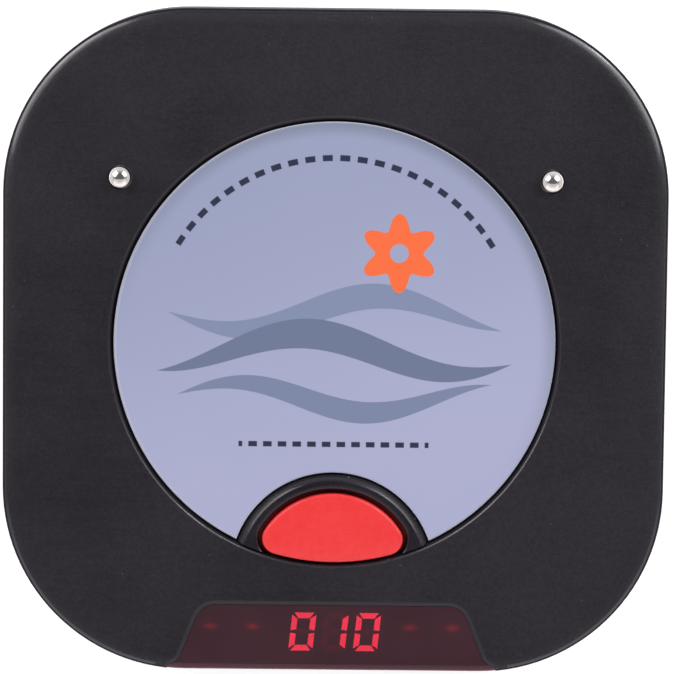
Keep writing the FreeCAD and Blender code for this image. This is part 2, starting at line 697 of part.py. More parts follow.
def battery_cell():
    """Flat pouch cell with a taped end."""
    x, y = BATTERY_CENTRE.x, BATTERY_CENTRE.y
    top = BATTERY_LOW_Z + BATTERY_THICK
    front = y - BATTERY_LONG / 2
    pouch = block(x - BATTERY_WIDE / 2, x + BATTERY_WIDE / 2, front + 3, y + BATTERY_LONG / 2,
                  BATTERY_LOW_Z, top)
    long_edges = [e for e in pouch.Edges if abs(e.tangentAt(e.FirstParameter).y) > 0.9]
    pouch = pouch.makeFillet(1.5, long_edges)
    taped_end = block(x - BATTERY_WIDE / 2 + 2, x + BATTERY_WIDE / 2 - 2, front, front + 3.5,
                      BATTERY_LOW_Z + 0.4, top - 0.8)
    return joined([pouch, taped_end])


def battery_pad():
    """Foam pad that sticks the battery to the floor."""
    x, y = BATTERY_CENTRE.x, BATTERY_CENTRE.y
    return block(x - 13, x + 13, y - 16, y + 18, FLOOR_Z, BATTERY_LOW_Z)


def battery_lead(side):
    """One of the two wires from the taped end of the battery to its plug."""
    front = BATTERY_CENTRE.y - BATTERY_LONG / 2
    start = V(BATTERY_CENTRE.x + side, front, LEAD_Z)
    return Part.makeCylinder(LEAD_R, front - PLUG_BACK_Y, start, V(0, -1, 0))


def battery_plug():
    """White plug on the battery's wires."""
    x = BATTERY_CENTRE.x
    return block(x - 2.6, x + 2.6, PLUG_BACK_Y - 4.5, PLUG_BACK_Y, 3.9, 6.9)


def battery_socket():
    """Socket under the board that takes the battery's plug."""
    x = BATTERY_CENTRE.x
    front = PLUG_BACK_Y - 6.5
    shell = block(x - 3.6, x + 3.6, front, front + 5, 3.3, BOARD_Z)
    return shell.cut(block(x - 2.65, x + 2.65, front + 1.95, front + 6, 3.85, 6.95))


def motor_ribbon():
    """Flat two-wire ribbon from the back of the motor straight up to the board."""
    return block(MOTOR_X - 1.2, MOTOR_X + 1.2, MOTOR_BACK_Y, MOTOR_BACK_Y + 0.6, MOTOR_Z, BOARD_Z)


# ==================================================================================
# Write every piece
# ==================================================================================
def all_pieces():
    """Every node's name and the shape that goes in its file."""
    pieces = {
        "top_cover": top_cover(),
        "bottom_cover": bottom_cover(),
        "rubber_feet": rubber_feet(),
        "light_diffuser": light_diffuser(),
        "label_disc": label_disc(),
        "button_bezel": button_bezel(),
        "call_button": call_button(),
        "switch_body": switch_body(),
        "switch_plunger": switch_plunger(),
        "display_window": display_window(),
        "display_module": display_module(),
        "display_segments": display_segments(),
        "indicator_leds": indicator_leds(),
        "ring_leds": ring_leds(),
        "main_board": main_board(),
        "microcontroller": microcontroller(),
        "radio_module": radio_module(),
        "radio_shield": radio_shield(),
        "crystal": crystal(),
        "antenna": antenna(),
        "buzzer": buzzer(),
        "motor_can": motor_can(),
        "motor_boot": motor_boot(),
        "motor_shaft": motor_shaft(),
        "motor_weight": motor_weight(),
        "motor_ribbon": motor_ribbon(),
        "battery_cell": battery_cell(),
        "battery_pad": battery_pad(),
        "battery_lead_red": battery_lead(-1),
        "battery_lead_black": battery_lead(1),
        "battery_plug": battery_plug(),
        "battery_socket": battery_socket(),
    }
    for side, x in (("left", -CONTACT_X), ("right", CONTACT_X)):
        pieces["contact_nub_" + side] = contact_nub(x)
        pieces["contact_barrel_" + side] = contact_barrel(x)
        pieces["contact_spring_" + side] = contact_spring(x)
        pieces["stack_contact_" + side] = stack_contact(x)
    return pieces


def main():
    """Write the STEP files and print what each one holds."""
    os.makedirs("parts", exist_ok=True)
    for name, shape in all_pieces().items():
        shape.exportStep("parts/" + name + ".step")
        box = shape.BoundBox
        print("%-22s solids %d  valid %s  volume %9.2f mm3  z %.2f to %.2f"
              % (name, len(shape.Solids), shape.isValid(), shape.Volume, box.ZMin, box.ZMax))


main()
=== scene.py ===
# %% [markdown]
# # Dressing a guest pager
# A guest pager is a flat plastic puck that a shop hands to a waiting customer. It has a moulded two-part
# case, a round label, a half-moon call button, a smoked window over three light-bar digits, and two sprung
# metal contacts. The engineering model gives every part its exact place. This lesson keeps that frame and
# remakes what the eye meets: fine rounds in place of coarse bevels, real surface grain, print and glass.

# %% Load the fixed frame
import bmesh
import bpy
import math
from functools import partial
from mathutils import Matrix, Vector


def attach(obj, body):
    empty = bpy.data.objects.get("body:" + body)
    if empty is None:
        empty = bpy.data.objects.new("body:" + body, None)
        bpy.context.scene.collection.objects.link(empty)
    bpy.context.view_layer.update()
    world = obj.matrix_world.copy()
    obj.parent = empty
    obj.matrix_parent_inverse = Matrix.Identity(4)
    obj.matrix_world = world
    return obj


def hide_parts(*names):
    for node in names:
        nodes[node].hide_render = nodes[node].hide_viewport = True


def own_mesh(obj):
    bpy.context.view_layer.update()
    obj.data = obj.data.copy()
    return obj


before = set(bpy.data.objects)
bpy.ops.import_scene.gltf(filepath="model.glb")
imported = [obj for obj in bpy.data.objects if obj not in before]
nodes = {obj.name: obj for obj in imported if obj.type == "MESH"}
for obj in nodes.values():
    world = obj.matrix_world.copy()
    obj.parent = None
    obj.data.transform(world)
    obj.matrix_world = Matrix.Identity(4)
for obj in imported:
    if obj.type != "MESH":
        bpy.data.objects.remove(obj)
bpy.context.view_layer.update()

# %% [markdown]
# ## Short words for nodes
# Materials and Geometry Nodes are built with the same few moves: add a node, fill its inputs by name, pass
# its output on. An output knows its own tree, so most helpers need only the outputs that they work on.

# %% Node helpers
def add_object(name, data):
    """Link data into the scene as an object."""
    item = bpy.data.objects.new(name, data)
    bpy.context.scene.collection.objects.link(item)
    return item


def put(socket, value):
    """Give a socket a plain value, or link it to another node's output."""
    if isinstance(value, bpy.types.NodeSocket):
        socket.id_data.links.new(value, socket)
    else:
        socket.default_value = value


def fill(node, **inputs):
    """Fill a node's inputs by name; an underscore stands for a space."""
    for label, value in inputs.items():
        put(node.inputs[label.replace("_", " ")], value)
    return node


def add_node(owner, kind, family="ShaderNode", mode=None, **inputs):
    """Add a node to the owner's tree, in a mode if it has one, and fill its inputs."""
    node = owner.id_data.nodes.new(family + kind)
    if mode:
        node.mode = mode
    return fill(node, **inputs)


def maths(operation, *values):
    """One Math node; its inputs are numbers or outputs of other nodes."""
    node = add_node(next(value for value in values if isinstance(value, bpy.types.NodeSocket)), "Math")
    node.operation = operation
    for socket, value in zip(node.inputs, values):
        put(socket, value)
    return node.outputs[0]


mul, add, sub, mad = (partial(maths, sign) for sign in ("MULTIPLY", "ADD", "SUBTRACT", "MULTIPLY_ADD"))
size_of = partial(maths, "ABSOLUTE")


def ramp(value, low, high, to_low=0.0, to_high=1.0):
    """Smooth step from low to high."""
    node = add_node(value, "MapRange")
    node.interpolation_type = "SMOOTHSTEP"
    fill(node, Value=value, From_Min=low, From_Max=high, To_Min=to_low, To_Max=to_high)
    return node.outputs["Result"]


def split(vector):
    """The X, Y and Z outputs of a vector."""
    return add_node(vector, "SeparateXYZ", Vector=vector).outputs


def new_material(name):
    """A material with one Principled shader."""
    material = bpy.data.materials.new(name)
    material.use_nodes = True
    tree = material.node_tree
    tree.nodes.clear()
    shader = add_node(tree, "BsdfPrincipled")
    add_node(tree, "OutputMaterial", Surface=shader.outputs["BSDF"])
    return material, shader


print("node helpers: put, fill, add_node, maths, ramp, split, new_material")

# %% [markdown]
# ## Camera
# The view is from almost straight above, leaning a few degrees towards the back edge, so the front edge
# falls away from the eye and the window's turned-down edge closes the picture. A long lens keeps the square
# case square. The camera is placed by three small turns about the middle of the top face, which is easier
# to adjust than a position and a target.

# %% Camera
TOP_FACE = 0.017  # height of the case's top face, in metres
CAMERA_DISTANCE = 0.450
LEAN_BACK, LEAN_SIDE, ROLL = (math.radians(angle) for angle in (4.80, 0.32, -0.59))
FOCAL_PIXELS, PICTURE_PIXELS, SENSOR_MM = 3017, 674, 36.0

turn = (Matrix.Rotation(ROLL, 3, "Z") @ Matrix.Rotation(LEAN_SIDE, 3, "Y")
        @ Matrix.Rotation(LEAN_BACK, 3, "X")).transposed()
optics = bpy.data.cameras.new("camera")
optics.sensor_width = SENSOR_MM
optics.lens = FOCAL_PIXELS / PICTURE_PIXELS * SENSOR_MM
optics.shift_x, optics.shift_y = 0.0036, 0.0095
optics.clip_start = 0.01
camera = add_object("camera", optics)
placed = turn.to_4x4()
placed.translation = turn @ Vector((0, 0, CAMERA_DISTANCE)) + Vector((0, 0, TOP_FACE))
camera.matrix_world = placed
bpy.context.scene.camera = camera
bpy.context.scene.view_settings.view_transform = "Standard"
print("camera at", [round(c, 4) for c in camera.location], "lens", round(optics.lens, 1))

# %% [markdown]
# ## Floor and light
# Two soft boxes stand at the upper left and upper right, each with a small bright bulb that gives the glints
# on the lips and the nubs, and a wide white card closes the front. The sky is pale near the horizon and
# darker overhead, because a black case mirrors what is above it. The floor is white to the camera through
# Light Path, so the picture has a clean ground without extra light on the pager. Seen from below it is
# clear, so that the underside can be looked at as well.

# %% Floor
floor_mesh = bpy.data.meshes.new("floor")
floor_mesh.from_pydata([(-3, -3, 0), (3, -3, 0), (3, 3, 0), (-3, 3, 0)], [], [(0, 1, 2, 3)])
floor = add_object("floor", floor_mesh)
floor_paint, shader = new_material("floor_white")
tree = floor_paint.node_tree
path = add_node(tree, "LightPath").outputs
seen = maths("MAXIMUM", path["Is Camera Ray"],
             maths("MAXIMUM", path["Is Glossy Ray"], path["Is Transmission Ray"]))
fill(shader, Base_Color=(0.80, 0.80, 0.80, 1), Roughness=0.9, Specular_IOR_Level=0.0,
     Emission_Color=(1, 1, 1, 1), Emission_Strength=mul(seen, 0.64))
either = add_node(tree, "MixShader")
from_below = add_node(tree, "NewGeometry").outputs["Backfacing"]
clear = add_node(tree, "BsdfTransparent").outputs["BSDF"]
for socket, value in zip(either.inputs, (from_below, shader.outputs["BSDF"], clear)):
    put(socket, value)
put(tree.nodes["Material Output"].inputs["Surface"], either.outputs["Shader"])
floor_mesh.materials.append(floor_paint)
print("floor:", floor_paint.name, "nodes", len(tree.nodes))

# %% Lamps and sky
WARM, COOL, ROSE = (1.0, 0.935, 0.975), (0.965, 0.98, 1.0), (1.0, 0.955, 0.975)
for name, place, width, height, power, colour in (
        ("box_left", (-0.43, 0.34, 0.48), 0.46, 0.40, 1.76, WARM),
        ("box_right", (0.43, 0.34, 0.48), 0.46, 0.40, 1.76, COOL),
        ("bulb_left", (-0.38, 0.40, 0.52), 0.16, 0.16, 0.22, WARM),
        ("bulb_right", (0.38, 0.40, 0.52), 0.07, 0.07, 0.34, COOL),
        ("card_front", (0.0, -0.52, 0.46), 1.50, 0.90, 2.12, ROSE)):
    lamp = bpy.data.lights.new(name, "AREA")
    lamp.shape = "RECTANGLE"
    lamp.size, lamp.size_y, lamp.energy, lamp.color = width, height, power, colour
    holder = add_object(name, lamp)
    holder.location = place
    holder.rotation_euler = (Vector((0, 0, 0)) - Vector(place)).to_track_quat("-Z", "Y").to_euler()

world = bpy.data.worlds.new("studio")
bpy.context.scene.world = world
world.use_nodes = True
sky = world.node_tree
sky.nodes.clear()
upward = split(add_node(sky, "TexCoord").outputs["Generated"])["Z"]
glow = add_node(sky, "Background", Color=(0.99, 0.965, 1.0, 1),
                Strength=ramp(upward, 0.35, 0.92, 0.75, 0.13))
add_node(sky, "OutputWorld", Surface=glow.outputs[0])
print("lamps: 5, sky fades overhead")

# %% [markdown]
# ## Shared surface effects
# Moulded plastic, rubber, board and metal share a few effects: a fine grain, a slow unevenness from
# handling, and a light dust. Each is a node group with named inputs, so one idea serves every finish with
# its own numbers. The groups give out only masks and heights; the shader stays in the material.

# %% Node groups for grain, handling and dust
def new_group(name, *masks, **inputs):
    """Start a node group with named float inputs: a shader group that turns a vector into masks, or, when
    it gives no masks, a Geometry Nodes tree. Returns the group, its inputs and its exit."""
    group = bpy.data.node_groups.new(name, "ShaderNodeTree" if masks else "GeometryNodeTree")
    first, last = ("Vector", "Float") if masks else ("Geometry", "Geometry")
    group.interface.new_socket(first, in_out="INPUT", socket_type="NodeSocket" + first)
    for label, value in inputs.items():
        group.interface.new_socket(label.replace("_", " "), in_out="INPUT",
                                   socket_type="NodeSocketFloat").default_value = value
    for label in masks or [last]:
        group.interface.new_socket(label, in_out="OUTPUT", socket_type="NodeSocket" + last)
    return group, add_node(group, "Input", "NodeGroup").outputs, add_node(group, "Output", "NodeGroup")


def noise(vector, scale, detail=2.0, rough=0.5):
    """One Noise node; returns its value."""
    return add_node(vector, "TexNoise", Vector=vector, Scale=scale, Detail=detail,
                    Roughness=rough).outputs["Fac"]


grain_group, entry, leave = new_group("fine_grain", "Height", "Tone", Scale=4000)
fine = noise(entry["Vector"], entry["Scale"], rough=0.6)
coarse = noise(entry["Vector"], mul(entry["Scale"], 0.31))
mixed = add(mul(fine, 0.65), mul(coarse, 0.35))
fill(leave, Height=mixed, Tone=ramp(mixed, 0.35, 0.68))

handling_group, entry, leave = new_group("handling", "Mask", Scale=40.0, Streaks=0.5)
slow = noise(entry["Vector"], entry["Scale"], 3.0, 0.55)
stretch = add_node(handling_group, "Mapping", Vector=entry["Vector"], Rotation=(0, 0, 0.5),
                   Scale=(1.0, 14.0, 1.0)).outputs["Vector"]
streak = noise(stretch, mul(entry["Scale"], 4.0))
fill(leave, Mask=ramp(mad(sub(streak, 0.5), entry["Streaks"], slow), 0.3, 0.7))

dust_group, entry, leave = new_group("dust", "Mask", Scale=900, Amount=0.5)
limit = mad(entry["Amount"], -0.2, 0.85)
fill(leave, Mask=ramp(noise(entry["Vector"], entry["Scale"], 1.0), limit, add(limit, 0.05)))
print("node groups:", [group.name for group in bpy.data.node_groups])


# %% Helpers that place the groups in a material
def use(group, vector, **values):
    """Put a node group in a material, with its own values; returns its outputs."""
    node = add_node(vector, "Group")
    node.node_tree = group
    return fill(node, Vector=vector, **values).outputs


def object_place(shader):
    """Object coordinates, in metres, the same in every view."""
    return add_node(shader, "TexCoord").outputs["Object"]


def attribute(shader, label):
    """The value of a mesh attribute."""
    node = add_node(shader, "Attribute")
    node.attribute_name = label
    return node.outputs["Fac"]


def blend_colours(mask, first, second):
    """Colour that goes from the first to the second with a mask."""
    node = add_node(mask, "Mix")
    node.data_type = "RGBA"
    for index, value in ((0, mask), (6, first), (7, second)):
        put(node.inputs[index], value)
    return node.outputs[2]


def bump(height, distance):
    """Bump node from a height mask, in metres of depth."""
    return add_node(height, "Bump", Distance=distance, Height=height).outputs["Normal"]


def paint(*screen):
    """Screen colour, 0 to 255, as the linear colour that shaders use."""
    parts = [value / 255 for value in screen]
    return tuple(p / 12.92 if p <= 0.04045 else ((p + 0.055) / 1.055) ** 2.4 for p in parts) + (1.0,)


def plain_finish(name, dark, light, rough, grain_scale, grain_depth, metallic=0.0, streaks=0.3, dust=0.0):
    """A finish with grain in its colour, roughness and bump, for moulded, woven and metal parts alike."""
    material, shader = new_material(name)
    place = object_place(shader)
    grain = use(grain_group, place, Scale=grain_scale)
    handled = use(handling_group, place, Scale=60.0, Streaks=streaks)["Mask"]
    colour = blend_colours(mad(handled, 0.4, mul(grain["Tone"], 0.6)), dark, light)
    if dust:
        flecks = use(dust_group, place, Scale=2600, Amount=dust)["Mask"]
        colour = blend_colours(flecks, colour, paint(190, 188, 184))
    fill(shader, Base_Color=colour, Metallic=metallic, Normal=bump(grain["Height"], grain_depth),
         Roughness=ramp(handled, 0.0, 1.0, max(rough - 0.06, 0.02), rough + 0.07))
    return material


print("screen grey 128 is", round(paint(128)[0], 3), "in linear light")

# %% [markdown]
# ## Outlines and skins
# Nearly every visible part is a closed outline carried through a few heights: the case is a rounded square,
# the button a half-moon, the window a trapezium with flared feet. So one helper carries an outline up into
# a closed mesh, and another turns a section about an upright axis. Lengths are in millimetres here and
# become metres when the mesh is made, which keeps the numbers easy to read.

# %% Mesh helpers
MM = 0.001


def to_mesh(points, faces):
    """Mesh in metres from points in millimetres."""
    mesh = bpy.data.meshes.new("shape")
    mesh.from_pydata([(x * MM, y * MM, z * MM) for x, y, z in points], [], faces)
    mesh.update()
    return mesh


def bands(pairs):
    """Faces between pairs of rows of points; a row that is one repeated point closes to a fan."""
    faces = []
    for low, high in pairs:
        if low[0] == low[1] and high[0] == high[1]:
            continue
        for i in range(len(low)):
            j = (i + 1) % len(low)
            faces.append(tuple(dict.fromkeys((low[i], low[j], high[j], high[i]))))
    return faces


def arc(centre, radius, first, last, steps):
    """Points on an arc between two angles in degrees, both ends included."""
    angles = [math.radians(first + (last - first) * i / steps) for i in range(steps + 1)]
    return [(centre[0] + radius * math.cos(a), centre[1] + radius * math.sin(a)) for a in angles]


def pile(outline, levels):
    """Closed mesh through an outline at (offset, height) levels, with a flat cap at both ends. The outline
    is a function of the offset, or a list of points."""
    rings = [(outline(offset) if callable(outline) else outline, height) for offset, height in levels]
    points = [(x, y, z) for ring, z in rings for x, y in ring]
    count = len(rings[0][0])
    rows = [tuple(range(low, low + count)) for low in range(0, len(points), count)]
    return to_mesh(points, bands(zip(rows, rows[1:])) + [rows[0][::-1], rows[-1]])


def prism(outline, offset, low, high):
    """Straight pile between two heights."""
    return pile(outline, [(offset, low), (offset, high)])


def block(x, y, z):
    """Plain block between pairs of coordinates, used only to join or cut."""
    (x0, x1), (y0, y1) = sorted(x), sorted(y)
    return prism([(x0, y0), (x1, y0), (x1, y1), (x0, y1)], 0, *z)


def turned(section, steps, centre=(0.0, 0.0)):
    """Closed mesh from a section of (radius, height) points, listed upwards along the outside."""
    points = []
    rows = []
    for radius, height in section:
        first = len(points)
        if radius:
            points += [(x, y, height) for x, y in arc(centre, radius, 0, 360, steps)[:-1]]
            rows.append(range(first, first + steps))
        else:
            points.append((*centre, height))
            rows.append([first] * steps)
    return to_mesh(points, bands(zip(rows, rows[1:] + rows[:1])))


def drum(radius, low, high, steps, centre=(0.0, 0.0)):
    """Plain cylinder, used only to join or cut."""
    return turned([(0, low), (radius, low), (radius, high), (0, high)], steps, centre)


def baked(helper, others=()):
    """The helper's mesh with its modifiers applied; the helper, the others and their meshes are removed."""
    mesh = bpy.data.meshes.new_from_object(helper.evaluated_get(bpy.context.evaluated_depsgraph_get()))
    for item in (helper, *others):
        data = item.data
        bpy.data.objects.remove(item)
        bpy.data.meshes.remove(data)
    return mesh


def trimmed(mesh, joins=(), cuts=(), shared=()):
    """The mesh with others joined on and cut out, kept where it meets the shared ones, by exact booleans."""
    helper = add_object("work", mesh)
    tools = []
    for kind, group in (("UNION", joins), ("DIFFERENCE", cuts), ("INTERSECT", shared)):
        for tool in group:
            tools.append(add_object("tool", tool))
            step = helper.modifiers.new("step", "BOOLEAN")
            step.operation, step.solver, step.object = kind, "EXACT", tools[-1]
    return baked(helper, tools)


def hand_over(name, mesh, stands_for, body="case"):
    """Make the mesh a piece that rides a body of the frame and takes the place of a node."""
    mesh.name = name
    piece = add_object(name, mesh)
    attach(piece, body)
    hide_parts(stands_for)
    print(name, "faces", len(mesh.polygons))
    return piece


def finish_piece(name, mesh, material, stands_for, body="case", sharp=34.0):
    """Shade a mesh, give it a material and hand it over."""
    mesh.materials.clear()
    mesh.materials.append(material)
    mesh.polygons.foreach_set("material_index", [0] * len(mesh.polygons))
    mesh.shade_smooth()
    mesh.set_sharp_from_angle(angle=math.radians(sharp))
    helper = add_object("shaded", mesh)
    weights = helper.modifiers.new("weights", "WEIGHTED_NORMAL")
    weights.keep_sharp, weights.weight = True, 60
    return hand_over(name, baked(helper), stands_for, body)


# %% [markdown]
# ## Case
# The case is two drafted shells with a fine spark-eroded grain on the flat top and a smoother, glossier
# round on its edge. The shell could be modelled by subdivision, but exact outlines keep the corners true:
# the rounded square is four arcs about four fixed axes, so a section's distance from those axes is all
# that changes from height to height. The recess, the window's pocket and the holes are then cut with
# tools whose own lips flare out, so every opening gets its moulded round for nothing.

# %% Case sizes
CORNER_AXIS = 22.0
CORNER_REACH = 28.0
INNER_REACH = 25.6
SEAM, TOP, PLATE, BASE = 8.6, 17.0, 15.0, 0.8
DRAFT = math.tan(math.radians(3.4))
EDGE_ROUND = 0.80
SHOULDER_DROP = 0.34
SHOULDER_WIDTH = 2.0
RECESS_R = 33.4
RECESS_DRAFT = 0.28  # how far the recess narrows from its lip to its seat
LIP_ROUND = 0.60
SEAT = 15.2
ARCH_Y = -34.8
BUTTON_Y = -34.7
CONTACTS = {"left": (-32.1, 24.45), "right": (32.1, 24.45)}
POSTS = ((-40, -4), (40, -4), (0, 41))
SIDES = (-1, 1)
HOOK_Y = (-14.0, 14.0)


def case_outline(reach):
    """Rounded square whose arcs have one reach about the four corner axes."""
    points = []
    for quarter in range(4):
        angle = math.radians(45 + 90 * quarter)
        axis = (math.copysign(CORNER_AXIS, math.cos(angle)), math.copysign(CORNER_AXIS, math.sin(angle)))
        points += arc(axis, reach, 90 * quarter, 90 * quarter + 90, 28)
    return points


def wall_reach(height):
    """Reach of the drafted upper wall at a height."""
    return CORNER_REACH - (height - SEAM) * DRAFT


print("case is", 2 * (CORNER_AXIS + CORNER_REACH), "mm wide")


# %% Outlines of the button and the window
def button_outline(offset, steps=20):
    """Half-moon of the button, grown by an offset, anticlockwise from the right-hand tip."""
    upper, lower, tip = 12.1 + offset, 32.95 + offset, max(2.4 + offset, 0.0)
    near, far = upper - tip, lower - tip
    tip_y = (far ** 2 - near ** 2 + BUTTON_Y ** 2) / (2 * BUTTON_Y)
    tip_x = math.sqrt(max(far ** 2 - tip_y ** 2, 0.0))
    top_angle = math.degrees(math.atan2(tip_y - BUTTON_Y, tip_x))
    low_angle = math.degrees(math.atan2(tip_y, tip_x))
    points = arc((tip_x, tip_y), tip, low_angle, top_angle, steps)
    points += arc((0, BUTTON_Y), upper, top_angle, 180 - top_angle, 2 * steps)[1:]
    points += arc((-tip_x, tip_y), tip, 180 - top_angle, 180 - low_angle, steps)[1:]
    points += arc((0, 0), lower, -180 - low_angle, low_angle, 2 * steps)[1:-1]
    return points


def window_outline(offset, steps=10):
    """Trapezium of the window with flared feet, grown by an offset."""
    corner_round, foot_round, lean = 3.0, 2.3, math.radians(22.0)
    down = Vector((math.sin(lean), -math.cos(lean)))
    out = Vector((math.cos(lean), math.sin(lean)))
    corner = Vector((19.55, -39.6))
    centre = corner - out * corner_round + down * (corner_round * (1 - out.y) / -down.y)
    flare = corner + down * ((-47.3 - corner.y) / down.y) + out * foot_round
    right = arc(centre, corner_round + offset, 90, 22, steps)
    right += arc(flare, foot_round - offset, 202, 270, steps)
    right.append((right[-1][0], -54.0))
    left = [(-x, y) for x, y in reversed(right)]
    return list(reversed(right + left))


print("button outline:", len(button_outline(0)), "points, window outline:", len(window_outline(0)), "points")


# %% Finishes of the case
def case_finish(name, shine):
    """Black moulded plastic with a spark-eroded grain, smooth and clear where the gloss attribute is high."""
    material, shader = new_material(name)
    place = object_place(shader)
    grain = use(grain_group, place, Scale=5200)
    handled = use(handling_group, place, Scale=34.0, Streaks=0.2)["Mask"]
    flecks = use(dust_group, place, Scale=2300, Amount=0.35)["Mask"]
    polish = attribute(shader, "gloss")
    colour = blend_colours(mad(grain["Tone"], 0.6, mul(handled, 0.4)), paint(2, 1, 6), paint(38, 34, 44))
    fill(shader, Base_Color=blend_colours(mul(flecks, 0.5), colour, paint(130, 124, 130)),
         Roughness=sub(ramp(handled, 0.0, 1.0, 0.44, 0.54), mul(polish, 0.30)),
         Normal=bump(mul(grain["Height"], mad(polish, -0.65, 1.0)), 1.3e-4),
         Coat_Weight=polish, Coat_Roughness=0.12, Coat_IOR=1.7, Specular_IOR_Level=shine)
    return material


case_black = case_finish("case_black", 0.36)
case_turn = case_finish("case_turn", 0.08)
UPRIGHT_WALL, STEEP, GENTLE, FLAT = 0.08, 0.84, 0.955, 0.9985  # height of a face's unit normal
FRONT_EDGE, WINDOW_BACK, WINDOW_HALF, SHOULDER_FROM = -0.0489, -0.0384, 0.0262, 0.040  # metres


def limited(value):
    """The value, kept between 0 and 1."""
    return min(max(value, 0.0), 1.0)


def gloss_edges(piece):
    """Polish the slopes of the lips and the edge round, least at the window's lip, on the far lip of the
    recess and on the front half of the soft shoulder, and give the steep foot of the round a dull finish
    that doesn't mirror the floor."""
    mesh = piece.data
    mesh.materials.append(case_turn)
    polish = [0.0] * len(mesh.loops)
    for face in mesh.polygons:
        lean, middle = face.normal, face.center
        recess_lip = 0.0331 < math.hypot(middle.x, middle.y) < 0.0342
        if UPRIGHT_WALL < lean.z <= STEEP and not recess_lip:
            face.material_index = 1
        if not STEEP < lean.z < FLAT:
            continue
        strength = 0.85
        if FRONT_EDGE <= middle.y < WINDOW_BACK and abs(middle.x) < WINDOW_HALF:
            strength = 0.14
        elif recess_lip:
            strength = 0.32 + 0.53 * limited((0.5 * middle.x - middle.y) / 0.025)
        elif lean.z > GENTLE and middle.length > SHOULDER_FROM:
            strength = 0.10 + 0.42 * limited((middle.y + 0.010) / 0.030)
        for corner in face.loop_indices:
            level = mesh.vertices[mesh.loops[corner].vertex_index].normal.z
            polish[corner] = strength * limited((0.996 - level) / 0.040)
    mesh.attributes.new("gloss", "FLOAT", "CORNER").data.foreach_set("value", polish)
    print(piece.name, "polished corners:", sum(1 for value in polish if value > 0))


# %% Top cover
outside = [(wall_reach(SEAM) - 0.25, SEAM), (wall_reach(SEAM + 0.12) - 0.07, SEAM + 0.07),
           (wall_reach(SEAM + 0.25), SEAM + 0.25)]
shoulder_lean = math.atan(2 * SHOULDER_DROP / SHOULDER_WIDTH)
round_level = TOP - SHOULDER_DROP - EDGE_ROUND * math.cos(shoulder_lean)
round_reach = wall_reach(round_level) - EDGE_ROUND
outside += arc((round_reach, round_level), EDGE_ROUND, 0, 90 - math.degrees(shoulder_lean), 12)[:-1]
shoulder_reach = round_reach + EDGE_ROUND * math.sin(shoulder_lean)
outside += [(shoulder_reach - SHOULDER_WIDTH * step / 8, TOP - SHOULDER_DROP * (1 - step / 8) ** 2)
            for step in range(9)]
shell = trimmed(pile(case_outline, outside), cuts=[prism(case_outline, INNER_REACH, 0.0, PLATE)])

seat_outline = arc((0, 0), 35.2 / math.cos(math.pi / 8), 22.5, 337.5, 7)
additions = [prism(seat_outline, 0, SEAT - 1.0, SEAT + 0.05)]
additions += [block((x - 1.5, x + 1.5), (y - 1.5, y + 1.5), (9.6, PLATE + 0.5)) for x, y in POSTS]
additions += [block((side * 46.6, side * outer), (y - 2.5, y + 2.5), (low, high)) for side in SIDES
              for y in HOOK_Y for outer, low, high in ((47.5, 5.2, 10.6), (48.3, 5.2, 6.2), (47.9, 9.1, 10.6))]

recess = [(0, SEAT), (RECESS_R - RECESS_DRAFT, SEAT)]
recess += arc((RECESS_R + LIP_ROUND, TOP - LIP_ROUND), LIP_ROUND, 178, 90, 11)
recess += [(RECESS_R + LIP_ROUND, TOP + 1), (0, TOP + 1)]
light_hole = trimmed(drum(31.6, 13.0, 16.0, 128), cuts=[drum(15.6, 12.0, 17.0, 96, (0, ARCH_Y))])
pocket = [(0.0, 9.8), (0.0, 16.60), (0.42, 16.86), (0.62, 16.96), (0.76, TOP), (0.76, TOP + 1)]
cutters = [turned(recess, 256), light_hole, prism(button_outline, 0.65, 13.0, SEAT + 0.1),
           pile(window_outline, pocket)]
nub_hole = [(0, 14.0), (1.8, 14.0), (1.8, TOP - 0.06), (1.82, TOP - 0.015), (1.86, TOP), (1.86, TOP + 1),
            (0, TOP + 1)]
cutters += [turned(nub_hole, 64, contact) for contact in CONTACTS.values()]
shell = trimmed(shell, joins=additions, cuts=cutters)
gloss_edges(finish_piece("case_top", shell, case_black, "top_cover"))

# %% Bottom cover
FLOOR_ROUND = 2.2
SOUND_X, SOUND_Y, SOUND_REACH, SLOT_HALF = -29, -16, 5.4, 0.5


def slot_outline(middle, flare):
    """One of the sound slots, which together fill a circle; flared by a share of its full flare."""
    end = math.sqrt(SOUND_REACH ** 2 - (middle - SOUND_X) ** 2) - SLOT_HALF
    ring = arc((middle, SOUND_Y + end), SLOT_HALF, 0, 180, 8)
    ring += arc((middle, SOUND_Y - end), SLOT_HALF, 180, 360, 8)
    return [(middle + (x - middle) * (1 + 0.35 * flare), SOUND_Y + (y - SOUND_Y) * (1 + 0.03 * flare))
            for x, y in ring]


hull = arc((CORNER_REACH - 0.25 - FLOOR_ROUND, BASE + FLOOR_ROUND), FLOOR_ROUND, -90, 0, 8)
hull += [(CORNER_REACH - 0.25, SEAM - 0.25), (CORNER_REACH - 0.32, SEAM - 0.08), (CORNER_REACH - 0.45, SEAM)]
tub = trimmed(pile(case_outline, hull), cuts=[prism(case_outline, INNER_REACH, 2.6, 9.6)])
additions = [block((x - 2, x + 2), (y - 2, y + 2), (2.4, 8.4)) for x, y in POSTS]
for sx in SIDES:
    for sy in SIDES:
        x, y = 2 + sx * 17.3, 6 + sy * 22.3  # corner of the battery's fence
        additions.append(block((x + sx * 1.2, x - sx * 6), (y, y + sy * 1.2), (2.4, 5.6)))
        additions.append(block((x, x + sx * 1.2), (y + sy * 1.2, y - sy * 6), (2.4, 5.6)))
additions += [block((31 + side * 3.05, 31 + side * 4.05), (-18, -10), (2.4, 6.6)) for side in SIDES]
cutters = [block((side * 46.45, side * 48.4), (y - 2.65, y + 2.65), (5.1, 6.3))
           for side in SIDES for y in HOOK_Y]
